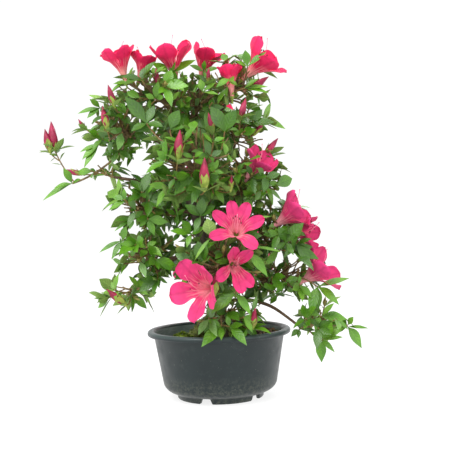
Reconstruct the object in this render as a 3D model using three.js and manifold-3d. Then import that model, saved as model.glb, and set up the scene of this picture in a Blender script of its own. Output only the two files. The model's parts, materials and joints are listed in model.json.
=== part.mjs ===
// Azalea trained as a small informal tree and in flower, standing in a round plastic training pot.
// Millimetres, +Z up. The origin is on the pot's axis, at the level that the pot stands on. The front is -Y.
import * as THREE from "three";
import { mergeVertices } from "three/addons/utils/BufferGeometryUtils.js";
import Module from "manifold-3d";

const wasm = await Module();
wasm.setup();

const UP = new THREE.Vector3(0, 0, 1);
const GAP = 0.3; // between two pieces that rest on each other
const GRID = 0.001; // of the vertices
const SLIVER = 0.0001; // the least height of a triangle

// The pot, from its foot ring up to its rolled rim.
const POT = {
  height: 71,
  rimRadius: 75,
  lipDepth: 5.6,
  lipRound: 2.4,
  wall: 1.8,
  wallTopRadius: 68.4,
  bendRadius: 59.5,
  bendHeight: 15.5,
  footRadius: 45,
  footWidth: 3.4,
  footHeight: 5,
  discRadius: 14,
  discHeight: 2,
  notches: 5,
  notchWidth: 13,
  notchTurn: -109, // degrees from +X to the notch at the front
  drains: 5,
  drainRadius: 4,
  drainCircle: 26,
  sides: 28,
};

// The soil's surface: a seat under the trunk, a bank round it and a rise towards the right.
const SOIL = { seatRadius: 27, seatHeight: 61.7, edgeHeight: 50, rise: 15, riseTurn: 22 };

// The trunk's line from the soil to its tip, and its radius at each of those points.
const TRUNK_LINE = [
  [-4, 0, 62],
  [-2, -2, 86],
  [-3, -2, 112],
  [-8, 0, 146],
  [-20, 2, 188],
  [-36, 1, 232],
  [-46, -1, 262],
  [-42, -2, 292],
];
const TRUNK_RADII = [12.5, 9.2, 7.8, 6.8, 5.4, 4.2, 3.3, 2.3];
const FLARE = { spurs: 5, depth: 0.34, height: 24 }; // root spurs at the trunk's foot

// Each bough leaves another limb at a share of its length and ends where its foliage starts.
// lift bows it upwards, and base and tip are its radii.
const BOUGHS = [
  { name: "bough_upper_left", from: "trunk", at: 0.87, end: [-84, -10, 272], lift: 5, base: 2.6, tip: 1.5 },
  { name: "bough_left_arm", from: "trunk", at: 0.72, end: [-104, -14, 232], lift: -3, base: 2.5, tip: 1.4 },
  { name: "bough_left", from: "trunk", at: 0.56, end: [-66, -12, 190], lift: 4, base: 2.4, tip: 1.3 },
  { name: "bough_lower_left", from: "trunk", at: 0.34, end: [-62, -8, 141], lift: 6, base: 2.7, tip: 1.4 },
  { name: "bough_left_foot", from: "bough_lower_left", at: 0.6, end: [-80, -20, 118], lift: 2, base: 1.6, tip: 1.2 },
  { name: "bough_top_right", from: "trunk", at: 0.8, end: [14, -8, 306], lift: -6, base: 2.6, tip: 1.4 },
  { name: "bough_top_middle", from: "bough_top_right", at: 0.42, end: [-20, 4, 290], lift: 3, base: 1.5, tip: 1.2 },
  { name: "bough_right_upper", from: "trunk", at: 0.54, end: [22, -2, 264], lift: -8, base: 2.8, tip: 1.5 },
  { name: "bough_right", from: "trunk", at: 0.44, end: [26, -14, 214], lift: -7, base: 2.9, tip: 1.5 },
  { name: "bough_right_side", from: "trunk", at: 0.33, end: [46, -4, 166], lift: 2, base: 2.8, tip: 1.5 },
  { name: "bough_right_low", from: "trunk", at: 0.22, end: [44, 2, 122], lift: 4, base: 2.7, tip: 1.4 },
  { name: "bough_right_foot", from: "trunk", at: 0.14, end: [82, -28, 74], lift: 15, base: 2.2, tip: 1.3 },
  { name: "bough_front_low", from: "trunk", at: 0.12, end: [6, -34, 88], lift: 6, base: 2, tip: 1.3 },
  { name: "bough_front", from: "trunk", at: 0.3, end: [8, -34, 136], lift: 3, base: 2.2, tip: 1.3 },
  { name: "bough_centre", from: "trunk", at: 0.62, end: [-14, -30, 220], lift: 3, base: 2, tip: 1.3 },
  { name: "bough_back_top", from: "trunk", at: 0.77, end: [-22, 44, 276], lift: -5, base: 2.2, tip: 1.4 },
  { name: "bough_back", from: "trunk", at: 0.5, end: [-16, 44, 204], lift: 2, base: 2.4, tip: 1.4 },
  { name: "bough_back_low", from: "trunk", at: 0.24, end: [12, 42, 130], lift: 3, base: 2.5, tip: 1.4 },
];

// The masses of foliage: each fills its own part of an ellipsoid, and one bough, or the trunk, carries it.
const MASSES = [
  { name: "foliage_top_left", on: "trunk", centre: [-58, -8, 320], radii: [44, 44, 25] },
  { name: "foliage_upper_left", on: "bough_upper_left", centre: [-98, -14, 286], radii: [30, 38, 32] },
  { name: "foliage_top_right", on: "bough_top_right", centre: [30, -8, 328], radii: [30, 40, 26] },
  { name: "foliage_top_middle", on: "bough_top_middle", centre: [-12, 0, 310], radii: [32, 42, 28] },
  { name: "foliage_back_top", on: "bough_back_top", centre: [-24, 66, 290], radii: [58, 38, 38] },
  { name: "foliage_left_arm", on: "bough_left_arm", centre: [-116, -12, 240], radii: [15, 16, 10] },
  { name: "foliage_left", on: "bough_left", centre: [-74, -8, 204], radii: [30, 42, 28] },
  { name: "foliage_lower_left", on: "bough_lower_left", centre: [-75, -10, 154], radii: [30, 42, 24] },
  { name: "foliage_left_foot", on: "bough_left_foot", centre: [-92, -22, 113], radii: [22, 26, 12] },
  { name: "foliage_centre", on: "bough_centre", centre: [-20, -48, 240], radii: [48, 32, 40] },
  { name: "foliage_right_upper", on: "bough_right_upper", centre: [32, -4, 280], radii: [24, 42, 26] },
  { name: "foliage_right", on: "bough_right", centre: [38, -18, 228], radii: [32, 46, 30] },
  { name: "foliage_right_side", on: "bough_right_side", centre: [66, -4, 174], radii: [34, 46, 32] },
  { name: "foliage_right_low", on: "bough_right_low", centre: [68, -2, 124], radii: [40, 44, 24] },
  { name: "foliage_right_foot", on: "bough_right_foot", centre: [104, -32, 80], radii: [22, 22, 16] },
  { name: "foliage_front_low", on: "bough_front_low", centre: [8, -52, 92], radii: [34, 26, 18] },
  { name: "foliage_front", on: "bough_front", centre: [4, -54, 144], radii: [42, 28, 34] },
  { name: "foliage_back", on: "bough_back", centre: [-18, 66, 216], radii: [62, 38, 38] },
  { name: "foliage_back_low", on: "bough_back_low", centre: [8, 64, 144], radii: [62, 38, 36] },
];

// Shoots that show one by one. at is the whorl of leaves at the shoot's end, and facing its azimuth and
// elevation in degrees, where azimuth 0 is +X and -90 faces the front. A shoot bears leaves alone, a bud of a
// length, or a flower of a width, whose lobes open by an angle from its axis.
const SHOOTS = [
  { at: [-87, -18, 324], facing: [215, 74], leaf: 17, flower: { width: 46, opens: 38 } },
  { at: [-78, -10, 324], facing: [-10, 72], leaf: 18, flower: { width: 40, opens: 34 } },
  { at: [-36, -12, 322], facing: [250, 72], leaf: 24, flower: { width: 54, opens: 42 } },
  { at: [-14, 14, 326], facing: [-30, 72], leaf: 22, flower: { width: 50, opens: 36 } },
  { at: [28, -14, 325], facing: [-20, 40], leaf: 22, flower: { width: 56, opens: 46 } },
  { at: [21, -26, 304], facing: [240, 84], leaf: 18, flower: { width: 40, opens: 24 } },
  { at: [38, 18, 316], facing: [140, 56], leaf: 20, flower: { width: 42, opens: 36 } },
  { at: [27, -30, 219], facing: [-30, 44], leaf: 20, flower: { width: 46, opens: 38 } },
  { at: [22, -58, 176], facing: [-92, 4], leaf: 26, flower: { width: 47, opens: 74, lobes: 6 } },
  { at: [10, -50, 146], facing: [-80, -12], leaf: 26, flower: { width: 44, opens: 54 } },
  { at: [2, -60, 118], facing: [-128, 2], leaf: 28, flower: { width: 56, opens: 56 } },
  { at: [53, -28, 172], facing: [-14, 34], leaf: 26, flower: { width: 52, opens: 42 } },
  { at: [68, -4, 172], facing: [-6, -4], leaf: 20, flower: { width: 42, opens: 44 } },
  { at: [82, -18, 120], facing: [-14, 38], leaf: 22, flower: { width: 58, opens: 54 } },
  { at: [-34, 94, 268], facing: [105, 30], leaf: 22, flower: { width: 50, opens: 55 } },
  { at: [8, 92, 284], facing: [78, 36], leaf: 22, flower: { width: 48, opens: 45 } },
  { at: [-14, 98, 222], facing: [95, 10], leaf: 24, flower: { width: 52, opens: 66 } },
  { at: [21, 96, 172], facing: [82, 6], leaf: 24, flower: { width: 50, opens: 62 } },
  { at: [-20, 90, 118], facing: [110, -4], leaf: 24, flower: { width: 48, opens: 60 } },
  { at: [32, 92, 130], facing: [72, 8], leaf: 22, flower: { width: 50, opens: 52 } },
  { at: [30, 76, 246], facing: [72, 18], leaf: 20, flower: { width: 44, opens: 44 } },
  { at: [-165, -10, 268], facing: [150, 82], leaf: 28, bud: 25 },
  { at: [-137, -10, 236], facing: [176, 16], leaf: 13, bud: 20 },
  { at: [-98, -34, 300], facing: [200, 74], leaf: 22, bud: 20 },
  { at: [-105, -36, 281], facing: [205, 76], leaf: 20, bud: 20 },
  { at: [-133, -10, 284], facing: [185, 55], leaf: 22, bud: 12 },
  { at: [-54, -34, 320], facing: [200, 86], leaf: 22, bud: 20 },
  { at: [-34, -68, 242], facing: [0, 84], leaf: 26, bud: 30 },
  { at: [-9, -72, 212], facing: [-60, 86], leaf: 30, bud: 32 },
  { at: [28, -40, 284], facing: [0, 74], leaf: 22, bud: 23 },
  { at: [1, -46, 272], facing: [190, 76], leaf: 20, bud: 20 },
  { at: [42, -26, 270], facing: [0, 54], leaf: 22, bud: 18 },
  { at: [52, -24, 250], facing: [0, 48], leaf: 16, bud: 22 },
  { at: [16, -58, 212], facing: [0, 84], leaf: 22, bud: 16 },
  { at: [-94, -26, 100], facing: [190, 44], leaf: 22, bud: 27 },
  { at: [34, -66, 78], facing: [-60, 76], leaf: 22, bud: 21 },
  { at: [-2, -76, 112], facing: [-30, 84], leaf: 16, bud: 22 },
  { at: [39, -18, 318], facing: [-20, 28], leaf: 18, bud: 24 },
  { at: [-3, -30, 324], facing: [-80, 70], leaf: 22, bud: 15 },
  { at: [-154, -8, 230], facing: [190, -34], leaf: 34 },
  { at: [-118, -16, 262], facing: [190, -22], leaf: 26 },
  { at: [-116, -14, 304], facing: [170, 24], leaf: 22 },
  { at: [-112, -22, 234], facing: [215, 40], leaf: 14 },
  { at: [-96, -16, 172], facing: [184, -16], leaf: 28 },
  { at: [-92, -24, 150], facing: [186, -8], leaf: 24 },
  { at: [-112, -24, 108], facing: [198, -14], leaf: 26 },
  { at: [106, -38, 64], facing: [-60, -20], leaf: 31 },
  { at: [131, -26, 74], facing: [-6, -10], leaf: 31 },
  { at: [102, -40, 96], facing: [-70, 34], leaf: 31 },
  { at: [108, -24, 116], facing: [-10, 6], leaf: 31 },
  { at: [65, -24, 218], facing: [-20, 12], leaf: 28 },
  { at: [54, -18, 284], facing: [-16, 20], leaf: 24 },
  { at: [62, -16, 334], facing: [-8, 10], leaf: 22 },
  { at: [44, -22, 314], facing: [-24, -4], leaf: 24 },
  { at: [10, -64, 260], facing: [-90, 44], leaf: 30 },
  { at: [-12, -78, 142], facing: [-110, 50], leaf: 26 },
  { at: [3, -66, 86], facing: [-90, -10], leaf: 29 },
  { at: [-60, -58, 234], facing: [-110, 34], leaf: 30 },
  { at: [-80, -48, 298], facing: [-110, 44], leaf: 30 },
  { at: [-80, -48, 162], facing: [-110, 14], leaf: 26 },
  { at: [-60, -42, 126], facing: [-120, -10], leaf: 24 },
  { at: [78, -46, 152], facing: [-50, 10], leaf: 30 },
];

// Leaves, twigs and flowers.
const LEAF = { width: 0.52, thickness: 0.03, widest: 0.5, tries: 5, apart: 1.9, droop: 0.18, clear: 7, free: 0.78 };
const WHORL = { leaves: 3, spread: 62, underFlower: 80, atEdge: 46 };
const FILLING_LEAF = 37; // the leaves that fill a mass stand for several each
const TWIG = { tip: 0.8, growth: 0.36, step: 17, sides: 3 };
const SPACING = 34.5; // between the whorls that the rule adds
const TRIES = 130; // for each mass
const CLAIM = 0.72; // the ball round a named shoot that its mass keeps, in leaf lengths
const SUNK = 1.5; // how deep leaves and flowers start in their twig
const CALYX = 6; // from a flower's whorl to its calyx
const COROLLA = { tube: 0.36, throat: 0.15, neck: 2.1, petal: 0.47, sinus: 0.6, petalThickness: 0.9 };

const COLOURS = {
  pot: { color: 0x46504d, roughness: 0.5, metalness: 0 },
  soil: { color: 0x4a3a28, roughness: 0.95, metalness: 0 },
  bark: { color: 0x5b4a3a, roughness: 0.85, metalness: 0 },
  foliage: { color: 0x3f7a34, roughness: 0.5, metalness: 0 },
};

const vector = ([x, y, z]) => new THREE.Vector3(x, y, z);
const degrees = THREE.MathUtils.degToRad;

// The unit vector of an azimuth and an elevation in degrees.
function heading([azimuth, elevation]) {
  return new THREE.Vector3(
    Math.cos(degrees(azimuth)) * Math.cos(degrees(elevation)),
    Math.sin(degrees(azimuth)) * Math.cos(degrees(elevation)),
    Math.sin(degrees(elevation)),
  );
}

// A seeded source of numbers from low to high.
function seeded(seed) {
  let state = Math.imul(seed, 2654435761) >>> 0;
  return (low = 0, high = 1) => {
    state = (Math.imul(state, 1664525) + 1013904223) >>> 0;
    return low + ((high - low) * state) / 4294967296;
  };
}

// Two unit vectors that are square to an axis and to each other.
function across(axis) {
  const guide = Math.abs(axis.z) > 0.9 ? new THREE.Vector3(1, 0, 0) : UP;
  const side = new THREE.Vector3().crossVectors(guide, axis).normalize();
  return [side, new THREE.Vector3().crossVectors(axis, side)];
}

function solidOf(geometry) {
  const bare = geometry.clone();
  bare.deleteAttribute("normal");
  bare.deleteAttribute("uv");
  const merged = mergeVertices(bare, 1e-4);
  const solid = new wasm.Manifold(
    new wasm.Mesh({
      numProp: 3,
      vertProperties: new Float32Array(merged.attributes.position.array),
      triVerts: new Uint32Array(merged.index.array),
    }),
  );
  return solid;
}

// The height of a triangle over its longest edge.
function leastHeight(corners) {
  const sides = corners.map((corner, i) => corner.distanceTo(corners[(i + 1) % 3]));
  return (2 * new THREE.Triangle(...corners).getArea()) / Math.max(...sides);
}

// The geometry of a solid, its vertices set to a fine grid and its flattened faces dropped. It is null where
// that leaves a sliver, or an edge that isn't shared by exactly two faces.
function geometryOf(solid) {
  const { vertProperties, triVerts } = solid.getMesh();
  const numbers = new Map();
  const places = [];
  const merged = Array.from({ length: vertProperties.length / 3 }, (_, i) => {
    const place = Array.from(vertProperties.slice(3 * i, 3 * i + 3), (value) => Math.round(value / GRID));
    const key = place.join();
    if (!numbers.has(key)) {
      numbers.set(key, numbers.size);
      places.push(...place.map((value) => value * GRID));
    }
    return numbers.get(key);
  });
  const faces = [];
  const edges = new Set();
  for (let i = 0; i < triVerts.length; i += 3) {
    const face = Array.from(triVerts.slice(i, i + 3), (corner) => merged[corner]);
    if (new Set(face).size < 3) continue;
    const corners = face.map((corner) => new THREE.Vector3().fromArray(places, 3 * corner));
    if (leastHeight(corners) < SLIVER) return null;
    faces.push(...face);
    for (let j = 0; j < 3; j++) {
      const edge = `${face[j]} ${face[(j + 1) % 3]}`;
      if (edges.has(edge)) return null;
      edges.add(edge);
    }
  }
  for (const edge of edges) {
    if (!edges.has(edge.split(" ").reverse().join(" "))) return null;
  }
  const geometry = new THREE.BufferGeometry();
  geometry.setAttribute("position", new THREE.Float32BufferAttribute(places, 3));
  geometry.setIndex(faces);
  return geometry;
}

// The largest of a solid's separate bodies: the others are loose scraps.
function largestBody(solid) {
  return solid.decompose().reduce((best, body) => (body.numTri() > best.numTri() ? body : best));
}

// Moves each vertex of a geometry by a function of its place.
function reshape(geometry, move) {
  const places = geometry.attributes.position;
  const place = new THREE.Vector3();
  for (let i = 0; i < places.count; i++) {
    place.copy(move(place.fromBufferAttribute(places, i)));
    places.setXYZ(i, place.x, place.y, place.z);
  }
  return geometry;
}

// A closed tube along a curve. radius gives its size at a share of the way and at an angle round it, and roll
// turns its corners.
function tube(curve, radius, rings, sides, roll = 0) {
  const frames = curve.computeFrenetFrames(rings, false);
  const round = new THREE.CylinderGeometry(1, 1, rings, sides, rings, false, roll);
  return reshape(round, (place) => {
    const ring = Math.round(rings / 2 + place.y);
    const share = ring / rings;
    const size = radius(share, Math.atan2(place.z, place.x));
    return curve
      .getPointAt(share)
      .addScaledVector(frames.normals[ring], place.x * size)
      .addScaledVector(frames.binormals[ring], -place.z * size);
  });
}

// A spindle from root to tip whose belly has a number of corners. place gives each corner's width across side
// and its height along face.
function spindle(sides, root, along, face, length, belly, corner) {
  const side = new THREE.Vector3().crossVectors(face, along).normalize();
  return reshape(new THREE.SphereGeometry(1, sides, 2), (place) => {
    const share = Math.abs(place.y) > 0.5 ? Math.round(place.y) / 2 + 0.5 : belly;
    const [wide, high] = corner(place.z, place.x, share);
    return root
      .clone()
      .addScaledVector(along, share * length)
      .addScaledVector(side, wide)
      .addScaledVector(face, high);
  });
}

// The pot.
function potProfile() {
  const { rimRadius, height, lipDepth, lipRound, wall } = POT;
  const innerFoot = POT.footRadius - POT.footWidth;
  const innerTop = POT.wallTopRadius - wall;
  const innerBend = POT.bendRadius - wall;
  const path = new THREE.Path();
  path.moveTo(0, POT.discHeight);
  path.lineTo(POT.discRadius, POT.discHeight);
  path.lineTo(innerFoot, POT.footHeight);
  path.lineTo(innerFoot, 0);
  path.lineTo(POT.footRadius, 0);
  path.lineTo(POT.footRadius + 0.5, POT.footHeight);
  path.quadraticCurveTo(POT.bendRadius - 2, POT.footHeight + 3, POT.bendRadius, POT.bendHeight);
  path.lineTo(POT.wallTopRadius, height - lipDepth);
  path.lineTo(rimRadius - lipRound, height - lipDepth);
  path.quadraticCurveTo(rimRadius, height - lipDepth, rimRadius, height - lipDepth + lipRound);
  path.quadraticCurveTo(rimRadius, height, rimRadius - lipRound * 1.6, height);
  path.lineTo(innerTop + wall, height - 0.6);
  path.lineTo(innerTop, height - lipRound);
  path.lineTo(innerBend, POT.bendHeight);
  path.quadraticCurveTo(innerBend - 2, POT.footHeight + 3 + wall, innerFoot, POT.footHeight + wall);
  path.lineTo(POT.discRadius, POT.discHeight + wall);
  path.lineTo(0, POT.discHeight + wall);
  return path.getPoints(2);
}

function potSolid() {
  const lathe = new THREE.LatheGeometry(potProfile(), POT.sides).rotateX(Math.PI / 2);
  let pot = solidOf(lathe);
  const half = POT.notchWidth / 2;
  for (let i = 0; i < POT.notches; i++) {
    const mouth = new THREE.Shape();
    mouth.moveTo(-half, -1);
    mouth.lineTo(half, -1);
    mouth.lineTo(half * 0.5, POT.footHeight - 0.6);
    mouth.lineTo(-half * 0.5, POT.footHeight - 0.6);
    const cut = new THREE.ExtrudeGeometry(mouth, { depth: POT.footWidth * 3, bevelEnabled: false })
      .rotateX(Math.PI / 2)
      .rotateZ(Math.PI / 2)
      .translate(POT.footRadius - POT.footWidth * 2, 0, 0)
      .rotateZ(degrees(POT.notchTurn + (360 / POT.notches) * i));
    pot = pot.subtract(solidOf(cut));
  }
  for (let i = 0; i < POT.drains; i++) {
    const hole = new THREE.CylinderGeometry(POT.drainRadius, POT.drainRadius, 20, 8)
      .rotateX(Math.PI / 2)
      .translate(POT.drainCircle, 0, 0)
      .rotateZ((2 * Math.PI * (i + 0.5)) / POT.drains);
    pot = pot.subtract(solidOf(hole));
  }
  return pot;
}

// The radius inside the pot at a height, less the gap that the soil keeps to the wall.
function insideRadius(height) {
  const share = (height - POT.bendHeight) / (POT.height - POT.lipRound - POT.bendHeight);
  return THREE.MathUtils.lerp(POT.bendRadius, POT.wallTopRadius, share) - POT.wall - GAP;
}

// The height of the soil's surface at a place.
function soilHeight(x, y) {
  const away = Math.hypot(x - TRUNK_LINE[0][0], y - TRUNK_LINE[0][1]) - SOIL.seatRadius;
  const share = THREE.MathUtils.clamp(away / (POT.wallTopRadius - SOIL.seatRadius), 0, 1);
  const turn = Math.atan2(y, x) - degrees(SOIL.riseTurn);
  const edge = SOIL.edgeHeight + SOIL.rise * (0.5 + 0.5 * Math.cos(turn));
  return THREE.MathUtils.lerp(SOIL.seatHeight, edge, 1 - (1 - share) ** 2);
}

function soilSolid() {
  const floor = POT.discHeight + POT.wall + GAP;
  const slope = POT.footHeight + POT.wall + GAP;
  const bend = insideRadius(POT.bendHeight);
  const rim = insideRadius(SOIL.edgeHeight);
  const profile = [
    [0, floor],
    [POT.discRadius, floor],
    [POT.footRadius - POT.footWidth - 1, slope],
    [bend - 5.4, slope + 4.4],
    [bend, POT.bendHeight + 1],
    ...[1, 0.78, 0.58, 0.38, 0].map((share) => [rim * share, SOIL.edgeHeight]),
  ];
  const points = profile.map(([x, y]) => new THREE.Vector2(x, y));
  const lathe = new THREE.LatheGeometry(points, POT.sides).rotateX(Math.PI / 2);
  return reshape(lathe, (place) => {
    if (place.z < SOIL.edgeHeight - 1) return place;
    const height = soilHeight(place.x, place.y);
    const reach = Math.hypot(place.x, place.y);
    if (reach > rim * 0.9) place.multiplyScalar(insideRadius(height) / reach);
    return place.setZ(height);
  });
}

// A limb is a curve with a radius along it.
function trunkLimb() {
  const curve = new THREE.CatmullRomCurve3(TRUNK_LINE.map(vector), false, "catmullrom", 0.5);
  const last = TRUNK_RADII.length - 1;
  const radius = (share) => {
    const place = Math.min(share * last, last - 1e-9);
    const step = Math.floor(place);
    return THREE.MathUtils.lerp(TRUNK_RADII[step], TRUNK_RADII[step + 1], place - step);
  };
  return { name: "trunk", curve, radius, rings: 16, sides: 10, roll: 0 };
}

function boughLimb(bough, index, limbs) {
  const random = seeded(900 + index);
  const parent = limbs.find((limb) => limb.name === bough.from);
  const start = parent.curve.getPointAt(bough.at);
  const end = vector(bough.end);
  const run = end.clone().sub(start);
  const [side] = across(run.clone().normalize());
  const kink = run.length() * 0.04;
  const points = [0, 1 / 3, 2 / 3, 1].map((share) => {
    const bow = 4 * share * (1 - share);
    return start
      .clone()
      .addScaledVector(run, share)
      .addScaledVector(UP, bough.lift * bow)
      .addScaledVector(side, random(-kink, kink) * bow);
  });
  const curve = new THREE.CatmullRomCurve3(points, false, "catmullrom", 0.5);
  const radius = (share) => THREE.MathUtils.lerp(bough.base, bough.tip, share);
  return { name: bough.name, parent, curve, radius, rings: 4, sides: 5, roll: 0 };
}

function limbSolid(limb, extra = 0) {
  const flare = (share, angle) => {
    const height = limb.curve.getPointAt(share).z - TRUNK_LINE[0][2];
    const spur = Math.max(0, 1 - height / FLARE.height) ** 2;
    return limb.parent ? 1 : 1 + FLARE.depth * spur * (1 + Math.cos(FLARE.spurs * angle));
  };
  const size = (share, angle) => (limb.radius(share) + extra) * flare(share, angle);
  const geometry = tube(limb.curve, size, limb.rings, limb.sides, limb.roll);
  // The trunk's foot is a flat, level cut on the soil.
  const foot = TRUNK_LINE[0][2];
  if (!limb.parent) reshape(geometry, (place) => (place.z < foot + 3 ? place.setZ(foot) : place));
  return solidOf(geometry);
}

// How far a point is from the surface of the nearest limb.
function limbDistance(limbs, point) {
  let least = Infinity;
  for (const limb of limbs) {
    for (const { place, size } of limb.beads) least = Math.min(least, place.distanceTo(point) - size);
  }
  return least;
}

// The beads along a limb, which stand for it when distances are measured.
function beadsOf(limb) {
  const count = 24;
  return Array.from({ length: count + 1 }, (_, i) => ({
    place: limb.curve.getPointAt(i / count),
    size: limb.radius(i / count),
  }));
}

// How deep a point is in a mass's ellipsoid: 0 at the centre and 1 at the surface.
function depthIn(mass, point) {
  const [x, y, z] = mass.radii;
  const away = point.clone().sub(mass.centre);
  return Math.hypot(away.x / x, away.y / y, away.z / z);
}

// The mass whose space a point is in. A named shoot's ball comes before any ellipsoid.
function ownerOf(crown, point) {
  let owner = null;
  let least = 1;
  for (const claim of crown.claims) {
    const depth = claim.centre.distanceTo(point) / claim.radius;
    if (depth < least) [owner, least] = [claim.mass, depth];
  }
  if (owner) return owner;
  for (const mass of crown.masses) {
    const depth = depthIn(mass, point);
    if (depth < least) [owner, least] = [mass, depth];
  }
  return owner;
}

const blocked = (crown, point) => crown.flowers.some((ball) => ball.centre.distanceTo(point) < ball.radius);

// Where a flower's mouth is, and the ball round it that nothing else enters.
function flowerBall(shoot) {
  const along = heading(shoot.facing);
  const { width, opens } = shoot.flower;
  const out = CALYX + width * (COROLLA.tube + 0.22 * Math.cos(degrees(opens)));
  return {
    centre: vector(shoot.at).addScaledVector(along, out),
    radius: width * (0.2 + 0.26 * Math.sin(degrees(opens))),
  };
}

// The twigs of a mass hang together at joints. The stem's first joint is 0.3 mm off the limb that carries it.
function startTree(mass, limb) {
  const along = limb.curve.getTangentAt(1);
  const root = limb.curve.getPointAt(1).addScaledVector(along, GAP);
  const heart = root.clone().lerp(mass.centre, 0.75);
  const control = root.clone().addScaledVector(along, root.distanceTo(heart) * 0.5);
  const first = { place: root, reach: 0, load: 0, twig: null };
  const tree = { joints: [first], twigs: [] };
  addTwig(tree, new THREE.QuadraticBezierCurve3(root, control, heart), first);
  return tree;
}

// Adds a twig's joints to the tree. A joint's load is the number of shoots beyond it.
function addTwig(tree, curve, from) {
  const steps = Math.max(1, Math.round(curve.getLength() / TWIG.step));
  const twig = { curve, from, joints: [] };
  const start = { place: curve.getPoint(0), parent: from, reach: from.reach, twig };
  for (let i = 1; i <= steps; i++) {
    const place = curve.getPointAt(i / steps);
    const parent = twig.joints.at(-1) ?? start;
    const reach = parent.reach + parent.place.distanceTo(place);
    twig.joints.push({ place, parent, reach, load: 0, twig });
  }
  tree.joints.push(...twig.joints);
  tree.twigs.push(twig);
  return twig;
}

// Adds a twig that ends at a place and points along a heading, from the joint that suits it best.
function growTwig(tree, end, facing) {
  let [best, least] = [null, Infinity];
  for (const joint of tree.joints.slice(1)) {
    const away = joint.place.distanceTo(end);
    const turn = away > 0 ? end.clone().sub(joint.place).dot(facing) / away : 0;
    const cost = away * (1 - 0.4 * turn) + 0.3 * joint.reach;
    if (away > 3 && cost < least) [best, least] = [joint, cost];
  }
  // It starts short of the joint, and short of the twigs that already leave there.
  best.leaving = (best.leaving ?? 0) + 1;
  const start = best.place.clone().lerp(best.parent.place, (0.28 * best.leaving) % 1);
  const run = end.clone().sub(start);
  const arrival = run.clone().normalize().multiplyScalar(0.55).addScaledVector(facing, 0.45).normalize();
  const control = end.clone().addScaledVector(arrival, -0.42 * run.length());
  const twig = addTwig(tree, new THREE.QuadraticBezierCurve3(start, control, end), best);
  for (let joint = twig.joints.at(-1); joint; joint = joint.parent) joint.load += 1;
  return twig;
}

// A place on the axis of a shoot's twig, short of its end by a depth.
function insideTwig(shoot, depth) {
  let joint = shoot.twig.joints.at(-1);
  let left = depth;
  let run = joint.place.distanceTo(joint.parent.place);
  while (left > run && joint.parent !== shoot.twig.joints[0].parent) {
    left -= run;
    joint = joint.parent;
    run = joint.place.distanceTo(joint.parent.place);
  }
  return joint.place.clone().lerp(joint.parent.place, Math.min(left / run, 0.9));
}

// The leaves that a shoot's end has room for, as a whorl. They lie flat under a flower.
function whorl(shoot, random) {
  const { facing, flower, bud, at } = shoot;
  const [side, other] = across(facing);
  const turn = random(0, 2 * Math.PI);
  const spread = flower ? WHORL.underFlower : at && !bud ? WHORL.atEdge : WHORL.spread;
  return Array.from({ length: LEAF.tries }, (_, i) => {
    const angle = turn + (4 * Math.PI * i) / LEAF.tries + random(-0.25, 0.25);
    const open = degrees(spread + random(-12, 12));
    const length = shoot.leaf * random(0.85, 1.08);
    const out = side.clone().multiplyScalar(Math.cos(angle)).addScaledVector(other, Math.sin(angle));
    const along = facing.clone().multiplyScalar(Math.cos(open)).addScaledVector(out, Math.sin(open));
    const face = facing.clone().multiplyScalar(Math.sin(open)).addScaledVector(out, -Math.cos(open));
    return { root: insideTwig(shoot, SUNK + LEAF.apart * i), along, face, length };
  });
}

// Points along a leaf, at which it is tested.
function leafPoints(leaf) {
  return [0.35, 0.65, 1].map((share) =>
    leaf.root
      .clone()
      .addScaledVector(leaf.along, share * leaf.length)
      .addScaledVector(UP, -LEAF.droop * leaf.length * share * share),
  );
}

// A leaf keeps its middle in its mass's space, and keeps off the limbs, the flowers and the other leaves.
function leafFits(crown, mass, leaf, others) {
  return leafPoints(leaf).every((point, i) => {
    const owner = i === 1 ? ownerOf(crown, point) : null;
    if (owner && owner !== mass) return false;
    if (blocked(crown, point) || limbDistance(crown.limbs, point) < 2) return false;
    return others.every((other) => other.distanceTo(point) > LEAF.clear);
  });
}

// The whorls that the rule adds to a mass, near its surface and apart from each other.
function addedShoots(crown, mass, random, spacing, tries) {
  const found = [];
  const near = (point) => [...mass.shoots, ...found].some((shoot) => shoot.place.distanceTo(point) < spacing);
  for (let i = 0; i < tries; i++) {
    const turn = random(0, 2 * Math.PI);
    const height = random(-1, 1);
    const depth = 0.35 + 0.6 * Math.sqrt(random());
    const length = random(0.82, 1.1);
    const flat = Math.sqrt(1 - height * height);
    const away = new THREE.Vector3(flat * Math.cos(turn), flat * Math.sin(turn), height);
    const place = away.clone().multiply(vector(mass.radii)).multiplyScalar(depth).add(mass.centre);
    if (ownerOf(crown, place) !== mass || near(place) || blocked(crown, place)) continue;
    if (limbDistance(crown.limbs, place) < 5) continue;
    const facing = away.addScaledVector(UP, 0.45).normalize();
    found.push({ place, facing, leaf: FILLING_LEAF * length });
  }
  return found;
}

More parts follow.
